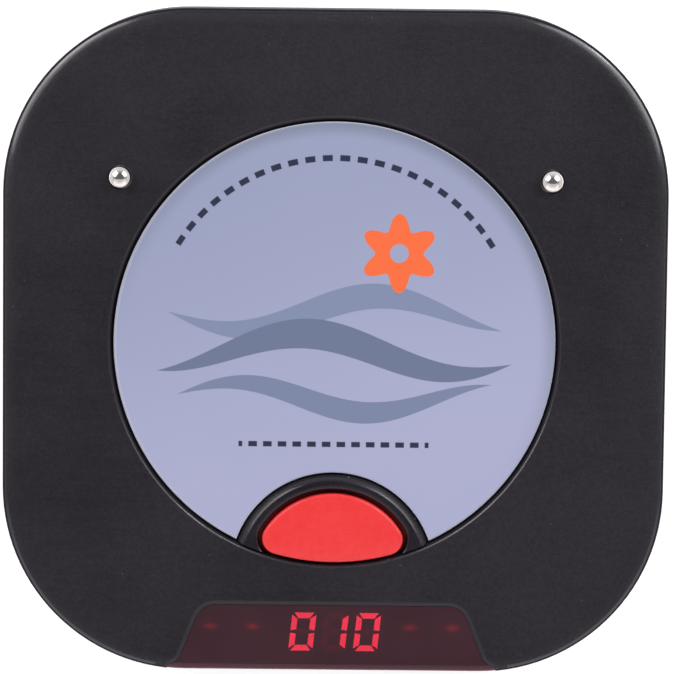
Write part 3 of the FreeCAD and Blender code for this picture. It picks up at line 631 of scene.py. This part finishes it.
for index in range(-2, 3):
    sound_slot = partial(slot_outline, SOUND_X + index * 2.2)
    cutters.append(pile(sound_slot, [(1, -0.2), (1, BASE), (0, BASE + 0.3), (0, 3.6)]))
socket_wall = [(0, -0.2), (3.5, -0.2), (3.5, BASE - 0.01), (3.3, BASE + 0.04), (3.08, BASE + 0.16),
               (3.0, BASE + 0.32), (3.0, 1.7), (0, 1.7)]
for x, y in CONTACTS.values():
    cutters.append(turned(socket_wall, 96, (x, y)))
    cutters.append(block((x - 2.1, x + 2.1), (y - 2.1, y + 2.1), (1.2, 3.6)))
tub = trimmed(tub, joins=additions, cuts=cutters)
finish_piece("case_bottom", tub, case_black, "bottom_cover")

# %% [markdown]
# ## Label and light plate
# The label is a thin printed film on a milky light plate. Both could be flat circles, but a film has a cut
# edge that catches light, so each disc gets a tiny round. The print is worked out in the material from
# the object's own coordinates: three ribbons, a rosette and dashes. That keeps edges crisp at any size, and
# the pattern is generic on purpose. The material also paints shade and light: the label is painted darker
# towards the top left, its far rim is painted darker as shade from the recess, and its cut edge is painted
# pale, partly as the film's own white edge and partly as a painted highlight that is weaker on the far side.

# %% Disc shapes
LABEL_RADIUS, LIGHT_RADIUS = 32.85, 33.0


def bitten_disc(radius, bite, low, high, edge):
    """Round plate with the button's arch cut from its front, and a small round on its rim."""
    rim = [(0, low), (radius, low)] + arc((radius - edge, high - edge), edge, 0, 90, 3) + [(0, high)]
    return trimmed(turned(rim, 256), cuts=[drum(bite, low - 2, high + 2, 192, (0, ARCH_Y))])


def length_of(x, y):
    """Length of a way with two parts."""
    return maths("SQRT", add(mul(x, x), mul(y, y)))


def ribbon(x, y, level, swing, waves, phase, half, span):
    """Mask of a wave-shaped ribbon that tapers to a point at both ends."""
    middle = mad(maths("SINE", mad(x, waves, phase)), swing, level)
    thick = mad(maths("POWER", size_of(maths("DIVIDE", x, span)), 2.0), -half, half)
    return ramp(size_of(sub(y, middle)), sub(thick, 0.05), add(thick, 0.05), 1.0, 0.0)


def dashes(along, across, pitch, length, width):
    """Mask of a row of dashes along one coordinate."""
    off = mul(size_of(sub(maths("FRACT", maths("DIVIDE", along, pitch)), 0.5)), pitch)
    return mul(ramp(off, length / 2 - 0.06, length / 2 + 0.06, 1.0, 0.0),
               ramp(size_of(across), width / 2 - 0.06, width / 2 + 0.06, 1.0, 0.0))


print("label", 2 * LABEL_RADIUS, "mm, light plate", 2 * LIGHT_RADIUS, "mm across")

# %% Print on the label
ROW_RADIUS = 27.6
label_print, shader = new_material("label_print")
place = object_place(shader)
spot = split(place)
x, y = mul(spot["X"], 1000), mul(spot["Y"], 1000)
reach = length_of(x, y)
# Random tone, plus painted shade that darkens the label towards the top left.
tone_and_painted_shade = mad(sub(noise(place, 38.0, 3.0), 0.5), 0.35, ramp(mad(x, 0.25, mul(y, -1.0)), -34.0, 22.0))
colour = blend_colours(tone_and_painted_shade, paint(155, 164, 192), paint(176, 180, 210))
# Painted shade: the rim is painted darker on its far side, most at the top and right, as shade from the recess.
shaded_far_side = ramp(mad(x, 0.4, y), -16.0, 30.0)
colour = blend_colours(mul(ramp(reach, 30.3, 33.0, 0.0, 0.75), shaded_far_side), colour, paint(126, 134, 154))
for shape, tone in (((4.5, 2.6, 0.150, 0.6, 2.0, 25.0), paint(134, 146, 176)),
                    ((-1.5, 2.9, 0.135, 2.2, 2.3, 26.5), paint(112, 125, 152)),
                    ((-8.2, 2.2, 0.160, 3.9, 1.7, 23.5), paint(126, 139, 168))):
    colour = blend_colours(ribbon(x, y, *shape), colour, tone)
flower_x, flower_y = sub(x, 9.5), sub(y, 13.5)
flower_reach = length_of(flower_x, flower_y)
lobes = maths("COSINE", mul(maths("ARCTAN2", flower_x, flower_y), 6.0))
petals = ramp(sub(flower_reach, mad(lobes, 1.15, 4.75)), -0.05, 0.05, 1.0, 0.0)
colour = blend_colours(mul(petals, ramp(flower_reach, 1.35, 1.45)), colour, paint(254, 116, 66))
# The film's pale cut edge: partly its own white edge, partly a painted highlight that is weaker on the shaded
# far side.
film_edge_and_highlight = mul(mad(shaded_far_side, -0.6, 1.0), ramp(add(reach, mul(x, -0.004)), 32.62, 32.80, 0.0, 0.38))
colour = blend_colours(film_edge_and_highlight, colour, paint(214, 214, 220))
bearing = maths("ARCTAN2", x, y)
rim_row = mul(dashes(mul(bearing, ROW_RADIUS), sub(reach, ROW_RADIUS), 2.6, 1.5, 0.9),
              ramp(size_of(bearing), 1.02, 1.025, 1.0, 0.0))
low_row = mul(dashes(x, add(y, 15.2), 2.2, 1.3, 0.8), ramp(size_of(x), 14.2, 14.25, 1.0, 0.0))
colour = blend_colours(maths("MAXIMUM", rim_row, low_row), colour, paint(46, 50, 74))
grain = use(grain_group, place, Scale=3200)
fill(shader, Base_Color=colour, Roughness=ramp(grain["Tone"], 0.0, 1.0, 0.38, 0.48), Specular_IOR_Level=0.35,
     Normal=bump(grain["Height"], 1.2e-5))

milky = plain_finish("milky_plate", paint(196, 200, 214), paint(214, 218, 230), 0.45, 1500, 1e-5)
film = bitten_disc(LABEL_RADIUS, 15.5, 16.5, 16.7, 0.08)
finish_piece("label", film, label_print, "label_disc")
light_plate = bitten_disc(LIGHT_RADIUS, 15.35, SEAT, 16.5, 0.15)
finish_piece("light_plate", light_plate, milky, "light_diffuser")

# %% [markdown]
# ## Call button and its bezel
# The button is one half-moon of glossy red plastic that sits in a dark arch. A boolean of two cylinders
# would give sharp edges. Growing and shrinking one outline of four arcs gives the rim's round, the low
# crown of the top and the hidden flange from the same rule.

# %% Button
button_red, shader = new_material("button_red")
place = object_place(shader)
grain = use(grain_group, place, Scale=1800)
handled = use(handling_group, place, Scale=120, Streaks=0.15)["Mask"]
# Painted shade: the button is painted a darker red low down, where it sits in the shade of its gap.
painted_gap_shade = ramp(split(place)["Z"], 0.0150, 0.0170, 1.0, 0.0)
red = blend_colours(grain["Tone"], paint(245, 62, 63), paint(250, 69, 69))
fill(shader, Base_Color=blend_colours(painted_gap_shade, red, paint(170, 22, 26)), Specular_IOR_Level=0.4,
     Roughness=ramp(handled, 0.0, 1.0, 0.20, 0.32), Normal=bump(grain["Height"], 6e-6))

CROWN, RIM_ROUND = 17.55, 0.5
rings = [(1.0, 13.2), (1.0, 14.15), (0, 14.15)]
rings += arc((-RIM_ROUND, CROWN - 0.14 - RIM_ROUND), RIM_ROUND, 0, 90, 7)
crown_fall = ((-0.9, 0.10), (-1.5, 0.065), (-2.3, 0.035), (-3.2, 0.012), (-4.2, 0.0))
rings += [(offset, CROWN - fall) for offset, fall in crown_fall]
cap = trimmed(pile(button_outline, rings), cuts=[block((-6, 6), (-31.2, -24.8), (12.2, 16.25))])
cap = trimmed(cap, joins=[block((-1.6, 1.6), (-29.6, -26.4), (13.92, 16.6))])
finish_piece("button", cap, button_red, "call_button", "button", 40.0)

# %% Bezel
bezel_black = plain_finish("bezel_black", paint(26, 24, 30), paint(38, 35, 42), 0.17, 2600, 1e-5, dust=0.3)
section = [(0, SEAT), (15.0, SEAT), (15.0, 16.20), (14.95, 16.26)]
section += arc((13.65, 15.85), 1.10, 50, 90, 8) + [(0, 16.95)]
opening = [(0.65, 14.0), (0.65, 16.6)] + arc((1.0, 16.6), 0.35, 150, 90, 2) + [(1.0, 18.0)]
outer_ring = trimmed(drum(60, 14.0, 19.0, 64), cuts=[drum(33.25, 13.0, 20.0, 256)])
arch = trimmed(turned(section, 224, (0, ARCH_Y)), cuts=[outer_ring, pile(button_outline, opening)])
finish_piece("bezel", arch, bezel_black, "button_bezel")

# %% [markdown]
# ## Smoked window
# The window is one moulding: a flat pane over the digits that turns down over the front wall. It is cut
# from the case's own outline, pulled in a little, so it follows the corner round exactly as the real
# moulding does. It is clear plastic with a dark red smoke in it; the colour comes from the glass itself,
# so the bars below glow through it and the rest stays dark.

# %% Window
WINDOW_TOP, WINDOW_ROUND, WINDOW_GAP, PANE = 16.65, 1.0, 0.03, 1.95


def smoked(name, shine):
    """Dark red see-through plastic, painted a brighter red where the pane turns down over the front edge, as
    painted light.
    """
    material, shader = new_material(name)
    place = object_place(shader)
    height = split(place)["Z"]
    handled = use(handling_group, place, Scale=90.0, Streaks=0.5)["Mask"]
    # Painted light: the round where the pane turns down over the front edge is painted a brighter red.
    painted_front_light = mul(ramp(height, 0.01654, 0.016645, 1.0, 0.0), ramp(height, 0.0148, 0.0162))
    flat = blend_colours(handled, (0.098, 0.041, 0.054, 1), (0.112, 0.045, 0.060, 1))
    fill(shader, Base_Color=blend_colours(painted_front_light, flat, (0.180, 0.038, 0.066, 1)),
         Roughness=add(ramp(handled, 0.0, 1.0, 0.03, 0.06), ramp(height, 0.0150, 0.0158, 0.30, 0.0)),
         Transmission_Weight=0.5, IOR=1.49, Specular_IOR_Level=shine)
    return material


outer = [(wall_reach(9.85) - WINDOW_GAP, 9.85)]
outer += arc((wall_reach(WINDOW_TOP - WINDOW_ROUND) - WINDOW_GAP - WINDOW_ROUND, WINDOW_TOP - WINDOW_ROUND),
             WINDOW_ROUND, 0, 90, 10)
inner = [(wall_reach(SEAM) - PANE, SEAM - 0.5)] + arc((wall_reach(14.35) - PANE - 0.6, 14.35), 0.6, 0, 90, 4)
pane = trimmed(pile(case_outline, outer), cuts=[pile(case_outline, inner)],
               shared=[prism(window_outline, -0.02, 9.0, 18.0)])
flanges = [trimmed(prism(window_outline, offset, 14.15, 14.95), shared=[prism(case_outline, reach, 13.0, 16.0)])
           for offset, reach in ((1.2, 25.45), (-0.1, 26.2))]
pane = trimmed(pane, joins=flanges)
window = finish_piece("window", pane, smoked("smoked_window", 0.5), "display_window", sharp=40.0)
window.data.materials.append(smoked("smoked_turn", 0.06))
for face in window.data.polygons:
    if UPRIGHT_WALL < face.normal.z < 0.93:
        face.material_index = 1

# %% [markdown]
# ## Growing repeats with Geometry Nodes
# Light bars, lamps, feet and spring coils repeat or follow a rule. Copying meshes in a loop would do, but
# a Geometry Nodes tree keeps the rule itself: change one named input and every copy follows. Each tree
# makes its copies real and gives them their material, and its result is kept as a plain mesh.

# %% Geometry Nodes helpers
def geo(owner, kind, mode=None, **inputs):
    """Add a Geometry Nodes node, fill its inputs, and return its first output."""
    return add_node(owner, kind, "GeometryNode", mode, **inputs).outputs[0]


def vector(owner, x=0.0, y=0.0, z=0.0):
    """Three numbers or fields as one vector."""
    return add_node(owner, "CombineXYZ", X=x, Y=y, Z=z).outputs[0]


def coated(geometry, material):
    """Give a branch of geometry its material."""
    return geo(geometry, "SetMaterial", Geometry=geometry, Material=material)


def moved(geometry, at, **inputs):
    """Move a branch of geometry."""
    return geo(geometry, "Transform", Geometry=geometry, Translation=at, **inputs)


def join(*parts):
    """Several branches of geometry as one."""
    node = add_node(parts[0], "JoinGeometry", "GeometryNode")
    for part in parts:
        put(node.inputs[0], part)
    return node.outputs[0]


def closed(sheet, raised):
    """Close a sheet's raised copy with the sheet itself, turned to face down."""
    under = geo(sheet, "FlipFaces", Mesh=sheet)
    return geo(sheet, "MergeByDistance", Geometry=join(raised, under), Distance=0.001)


def scattered(points, item, **inputs):
    """A real copy of the item on every point."""
    copies = geo(points, "InstanceOnPoints", Points=points, Instance=item, **inputs)
    return geo(points, "RealizeInstances", Geometry=copies)


def grow(tree, seed_mesh=None, **values):
    """Run a tree on a seed mesh and return the result as a plain mesh."""
    helper = add_object("seed", seed_mesh or bpy.data.meshes.new("seed"))
    step = helper.modifiers.new("grow", "NODES")
    step.node_group = tree
    for item in tree.interface.items_tree:
        label = item.name.replace(" ", "_")
        if item.in_out == "INPUT" and item.name != "Geometry":
            step[item.identifier] = values.get(label, item.default_value)
    helper.update_tag()
    return baked(helper)


def place_grown(name, mesh, at, stands_for, turn=Matrix(), smooth=None):
    """Turn a grown mesh, bring it to its place in millimetres, shade it and hand it over."""
    mesh.transform(Matrix.Scale(MM, 4) @ Matrix.Translation(at) @ turn)
    if smooth is not None:
        mesh.shade_smooth()
        mesh.set_sharp_from_angle(angle=math.radians(smooth))
    return hand_over(name, mesh, stands_for)


# %% Finish of the light bars and lamps
def glowing(name, body, glow, strength, fading=False):
    """Tinted plastic that gives out light; a fading one is bright only where its glow attribute is high."""
    material, shader = new_material(name)
    grain = use(grain_group, object_place(shader), Scale=2500)
    dim_body = (*(c * 0.85 for c in body[:3]), 1.0)
    light = blend_colours(grain["Tone"], glow, (*(c * 0.92 for c in glow[:3]), 1.0))
    if fading:
        light = blend_colours(maths("POWER", attribute(shader, "glow"), 2.2), (0, 0, 0, 1), light)
    fill(shader, Base_Color=blend_colours(grain["Tone"], body, dim_body), Roughness=0.4,
         Emission_Color=light, Emission_Strength=strength, Normal=bump(grain["Height"], 1e-5))
    return material


bar_lit = glowing("bar_lit", paint(120, 20, 24), (1.0, 0.065, 0.125, 1), 34.0)
# Painted light: the unlit bars glow faintly, so they show through the smoked window.
bar_dark = glowing("bar_dark", paint(60, 30, 32), (1.0, 0.02, 0.03, 1), 0.9)
lamp_lens = glowing("lamp_lens", paint(196, 168, 60), (1.0, 0.85, 0.4, 1), 0.0)
status_lens = glowing("status_lens", paint(90, 24, 26), (1.0, 0.02, 0.08, 1), 8.5, fading=True)
tub_dark = plain_finish("tub_dark", paint(20, 20, 22), paint(32, 32, 34), 0.5, 2400, 1e-5)
lamp_tub = plain_finish("lamp_tub", paint(206, 204, 198), paint(228, 226, 220), 0.4, 2000, 1e-5)
print("finishes that glow:", [finish.name for finish in (bar_lit, bar_dark, lamp_lens, status_lens)])

# %% Tree of the light bars
tree, entry, leave = new_group("light_bars", Length=3.4, Thick=0.85, Near_Cut=0.7, Far_Cut=0.7, Rise=0.1)
half_long, half_thick = mul(entry["Length"], 0.5), mul(entry["Thick"], 0.5)
inner_y = mul(half_thick, -1.0)
outline = geo(tree, "CurvePrimitiveQuadrilateral", "POINTS",
              Point_1=vector(tree, mul(half_long, -1.0), half_thick),
              Point_2=vector(tree, sub(mul(entry["Thick"], entry["Near Cut"]), half_long), inner_y),
              Point_3=vector(tree, sub(half_long, mul(entry["Thick"], entry["Far Cut"])), inner_y),
              Point_4=vector(tree, half_long, half_thick))
sheet = geo(tree, "FillCurve", "NGONS", Curve=outline)
bar = closed(sheet, geo(tree, "ExtrudeMesh", Mesh=sheet, Offset_Scale=entry["Rise"]))
turns = vector(tree, z=geo(tree, "InputNamedAttribute", Name="turn"))
sizes = vector(tree, geo(tree, "InputNamedAttribute", Name="size"), 1.0, 1.0)
fill(leave, Geometry=coated(scattered(entry["Geometry"], bar, Rotation=turns, Scale=sizes), bar_lit))
bars_tree = tree
print("tree:", tree.name, "nodes", len(tree.nodes))

# %% Light bars of the three digits
LIT = {-1: "abcdef", 0: "bc", 1: "abcdef"}
PITCH = 4.88  # from one digit to the next
BAR = 0.85  # thickness of a bar
REACH_X, REACH_Y = 1.4, 2.475  # middle lines of the uprights and of the outer cross bars
MITRE_GAP, WAIST_GAP = 0.36, 0.20
ACROSS = 2 * (REACH_X + BAR / 2 - MITRE_GAP)
UPRIGHT = REACH_Y + BAR / 2 - MITRE_GAP - WAIST_GAP
MID_Y = WAIST_GAP + UPRIGHT / 2
CROSS_BARS = {"a": (0, REACH_Y, 0, 1.0), "g": (0, 0, 0, 0.62), "d": (0, -REACH_Y, 180, 1.0)}
UPRIGHTS = {"b": (REACH_X, MID_Y, -90, 1.0), "c": (REACH_X, -MID_Y, -90, -1.0),
            "f": (-REACH_X, MID_Y, 90, -1.0), "e": (-REACH_X, -MID_Y, 90, 1.0)}
SLANT = Matrix(((1, math.tan(math.radians(6)), 0, 0), (0, 1, 0, 0), (0, 0, 1, 0), (0, 0, 0, 1)))


def bar_points(lit, layout):
    """Seed points for the lit or the dark bars of one layout, with each bar's turn and size."""
    rows = [((x + digit * PITCH, y, 0), math.radians(degrees), size) for digit in (-1, 0, 1)
            for letter, (x, y, degrees, size) in layout.items() if (letter in LIT[digit]) == lit]
    seed = bpy.data.meshes.new("bar_points")
    seed.from_pydata([row[0] for row in rows], [], [])
    for label, column in (("turn", 1), ("size", 2)):
        seed.attributes.new(label, "FLOAT", "POINT").data.foreach_set("value", [row[column] for row in rows])
    return seed


def joined(meshes):
    """One mesh from several, with every face turned outwards."""
    work = bmesh.new()
    for mesh in meshes:
        work.from_mesh(mesh)
        bpy.data.meshes.remove(mesh)
    bmesh.ops.recalc_face_normals(work, faces=work.faces)
    result = bpy.data.meshes.new("joined")
    work.to_mesh(result)
    work.free()
    return result


for name, lit, material in (("bars_lit", True, bar_lit), ("bars_dark", False, bar_dark)):
    mesh = joined([grow(bars_tree, bar_points(lit, layout), Length=length, Thick=BAR, Far_Cut=cut)
                   for layout, length, cut in ((CROSS_BARS, ACROSS, 0.7), (UPRIGHTS, UPRIGHT, 0.15))])
    mesh.materials.append(material)
    place_grown(name, mesh, (0.5, -43.9, 14.0), "display_segments", SLANT)

# %% Indicator lamps beside the digits
tree, entry, leave = new_group("status_lamps", Inner=12.0, Step=6.4, Lens=0.62)
rows = [geo(tree, "MeshLine", Count=2, Start_Location=vector(tree, mul(entry["Inner"], side)),
            Offset=vector(tree, mul(entry["Step"], side))) for side in (-1.0, 1.0)]
holder = moved(geo(tree, "MeshCube", Size=(3.2, 1.6, 1.1)), (0, 0, 0.55))
dome = geo(tree, "MeshCone", Vertices=32, Radius_Top=0.0, Depth=0.14, Radius_Bottom=entry["Lens"])
near_tip = maths("GREATER_THAN", split(geo(tree, "InputPosition"))["Z"], 0.05)
dome = geo(tree, "StoreNamedAttribute", Geometry=dome, Name="glow", Value=near_tip)
dome = moved(dome, (0, -0.36, 1.10), Scale=(3.0, 1.35, 1.0))
fill(leave, Geometry=scattered(join(*rows), join(coated(holder, tub_dark), coated(dome, status_lens))))
place_grown("status_lamps", grow(tree), (0, -43.4, 9.6), "indicator_leds")

# %% Ring of lamps under the light plate
tree, entry, leave = new_group("lamp_ring", Radius=27.0, First=-48.0, Sweep=276)
circle = geo(tree, "CurveArc", Resolution=11, Radius=entry["Radius"],
             Start_Angle=maths("RADIANS", entry["First"]), Sweep_Angle=maths("RADIANS", entry["Sweep"]))
outward = add_node(tree, "AlignRotationToVector", "FunctionNode", Vector=geo(tree, "InputPosition"))
outward.axis = "X"
tub = moved(geo(tree, "MeshCube", Size=(3.5, 2.8, 1.85)), (0, 0, 0.925))
lens = moved(geo(tree, "MeshCylinder", Vertices=24, Radius=1.15, Depth=0.4), (0, 0, 1.69))
fill(leave, Geometry=scattered(geo(tree, "CurveToPoints", "EVALUATED", Curve=circle),
                               join(coated(tub, lamp_tub), coated(lens, lamp_lens)),
                               Rotation=outward.outputs["Rotation"]))
place_grown("lamp_ring", grow(tree), (0, 0, 9.6), "ring_leds")

# %% Rubber feet
rubber = plain_finish("foot_rubber", paint(26, 26, 27), paint(38, 38, 39), 0.75, 3200, 4e-5, dust=0.8)
tree, entry, leave = new_group("feet", Size=7.0, Round=1.2, Thick=0.8, Spread_X=48.0, Spread_Y=80.0)
square = geo(tree, "CurvePrimitiveQuadrilateral", Width=entry["Size"], Height=entry["Size"])
rounded = geo(tree, "FilletCurve", "POLY", Curve=square, Radius=entry["Round"], Count=8)
sheet = geo(tree, "FillCurve", "NGONS", Curve=rounded)
side = geo(tree, "ExtrudeMesh", Mesh=sheet, Offset_Scale=mul(entry["Thick"], 0.7))
edge = geo(tree, "ExtrudeMesh", Mesh=side, Selection=side.node.outputs["Top"],
           Offset_Scale=mul(entry["Thick"], 0.3))
narrowed = geo(tree, "ScaleElements", Geometry=edge, Selection=edge.node.outputs["Top"], Scale=0.93)
grid = geo(tree, "MeshGrid", Size_X=entry["Spread X"], Size_Y=entry["Spread Y"], Vertices_X=2, Vertices_Y=2)
fill(leave, Geometry=coated(scattered(grid, closed(sheet, narrowed)), rubber))
place_grown("feet", grow(tree), (0, 0, BASE), "rubber_feet", Matrix.Rotation(math.pi, 4, "X"), 25)

# %% [markdown]
# ## Charging contacts
# Each contact is a plated pin with a domed end, pushed up by a coil spring in a brass cup. The dome is
# turned like the real one. The spring is a spiral with a round wire carried along it.

# %% Pins
nickel, shader = new_material("nickel_plate")
place = object_place(shader)
handled = use(handling_group, place, Scale=420, Streaks=0.8)["Mask"]
grain = use(grain_group, place, Scale=6000)
fill(shader, Base_Color=blend_colours(handled, (0.78, 0.74, 0.70, 1), (0.90, 0.87, 0.83, 1)), Metallic=1.0,
     Roughness=ramp(handled, 0.0, 1.0, 0.09, 0.17), Normal=bump(grain["Height"], 4e-6))
pin = [(0, 13.2), (1.93, 13.2), (1.93, 14.0), (1.57, 14.0), (1.57, 18.34)] + arc((1.42, 18.34), 0.15, 15, 30, 1)
pin += arc((0, 17.15), 2.05, 42, 86, 11) + [(0, 19.2)]
for side, contact in CONTACTS.items():
    finish_piece("pin_" + side, turned(pin, 72, contact), nickel, "contact_nub_" + side,
                 "nub_" + side, 30.0)

# %% Springs
spring_steel = plain_finish("spring_steel", (0.42, 0.42, 0.43, 1), (0.60, 0.60, 0.61, 1), 0.25, 6000,
                            4e-6, 1.0, 0.7)
tree, entry, leave = new_group("coil", Radius=1.3, Wire=0.19, Turns=4.0, Height=2.47)
spiral = geo(tree, "CurveSpiral", Resolution=28, Rotations=entry["Turns"], Start_Radius=entry["Radius"],
             End_Radius=entry["Radius"], Height=entry["Height"])
wire = geo(tree, "CurvePrimitiveCircle", Resolution=12, Radius=entry["Wire"])
swept = geo(tree, "CurveToMesh", Curve=spiral, Profile_Curve=wire, Fill_Caps=True)
fill(leave, Geometry=coated(geo(tree, "RealizeInstances", Geometry=swept), spring_steel))
for side, (x, y) in CONTACTS.items():
    spring = place_grown("spring_" + side, grow(tree), (x, y, 10.5), "contact_spring_" + side,
                         smooth=40)
    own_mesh(spring)

# %% [markdown]
# ## Parts inside
# The rest of the pager is hidden until someone opens it. Those parts keep their engineering shapes and
# get plain workshop finishes: fibreglass board, moulded chips, tinned cans, brass, foil and foam. Each
# finish reuses the shared grain and handling groups.

# %% Finishes for the inner parts
FINISHES = (
    ("main_board radio_module", "board_green", paint(18, 74, 48), paint(28, 92, 60), 0.42, 900, 2e-5),
    ("microcontroller buzzer switch_body antenna", "chip_black", paint(28, 28, 30), paint(42, 42, 45), 0.55,
     2600, 3e-5),
    ("display_module", "module_face", paint(20, 19, 21), paint(30, 29, 32), 0.5, 2200, 2e-5),
    ("radio_shield crystal motor_can motor_shaft", "tinned_steel", (0.56, 0.56, 0.57, 1), (0.72, 0.72, 0.73, 1),
     0.32, 3000, 1e-5, 1.0, 0.8),
    ("motor_weight contact_barrel_left contact_barrel_right", "brass", (0.66, 0.50, 0.24, 1),
     (0.80, 0.64, 0.34, 1), 0.28, 3000, 1e-5, 1.0, 0.7),
    ("stack_contact_left stack_contact_right", "gold_flash", (0.80, 0.62, 0.26, 1), (0.92, 0.74, 0.36, 1),
     0.22, 3000, 1e-5, 1.0, 0.7),
    ("battery_cell", "cell_foil", (0.62, 0.63, 0.65, 1), (0.78, 0.79, 0.81, 1), 0.38, 500, 1e-4, 1.0, 0.2),
    ("battery_pad", "foam_pad", paint(48, 48, 50), paint(78, 78, 80), 0.9, 1600, 2e-4),
    ("battery_plug battery_socket switch_plunger", "white_nylon", paint(214, 210, 200), paint(232, 229, 220),
     0.45, 1800, 1e-5),
    ("motor_ribbon battery_lead_red", "wire_red", paint(176, 28, 26), paint(204, 40, 36), 0.4, 2400, 1e-5),
    ("battery_lead_black", "wire_black", paint(26, 26, 28), paint(40, 40, 42), 0.4, 2400, 1e-5))
finishes = [(names.split(), plain_finish(*values)) for names, *values in FINISHES] + [(["motor_boot"], rubber)]
for names, material in finishes:
    for name in names:
        nodes[name].data.materials.clear()
        nodes[name].data.materials.append(material)
print("finished inner parts:", sum(len(names) for names, _ in finishes))
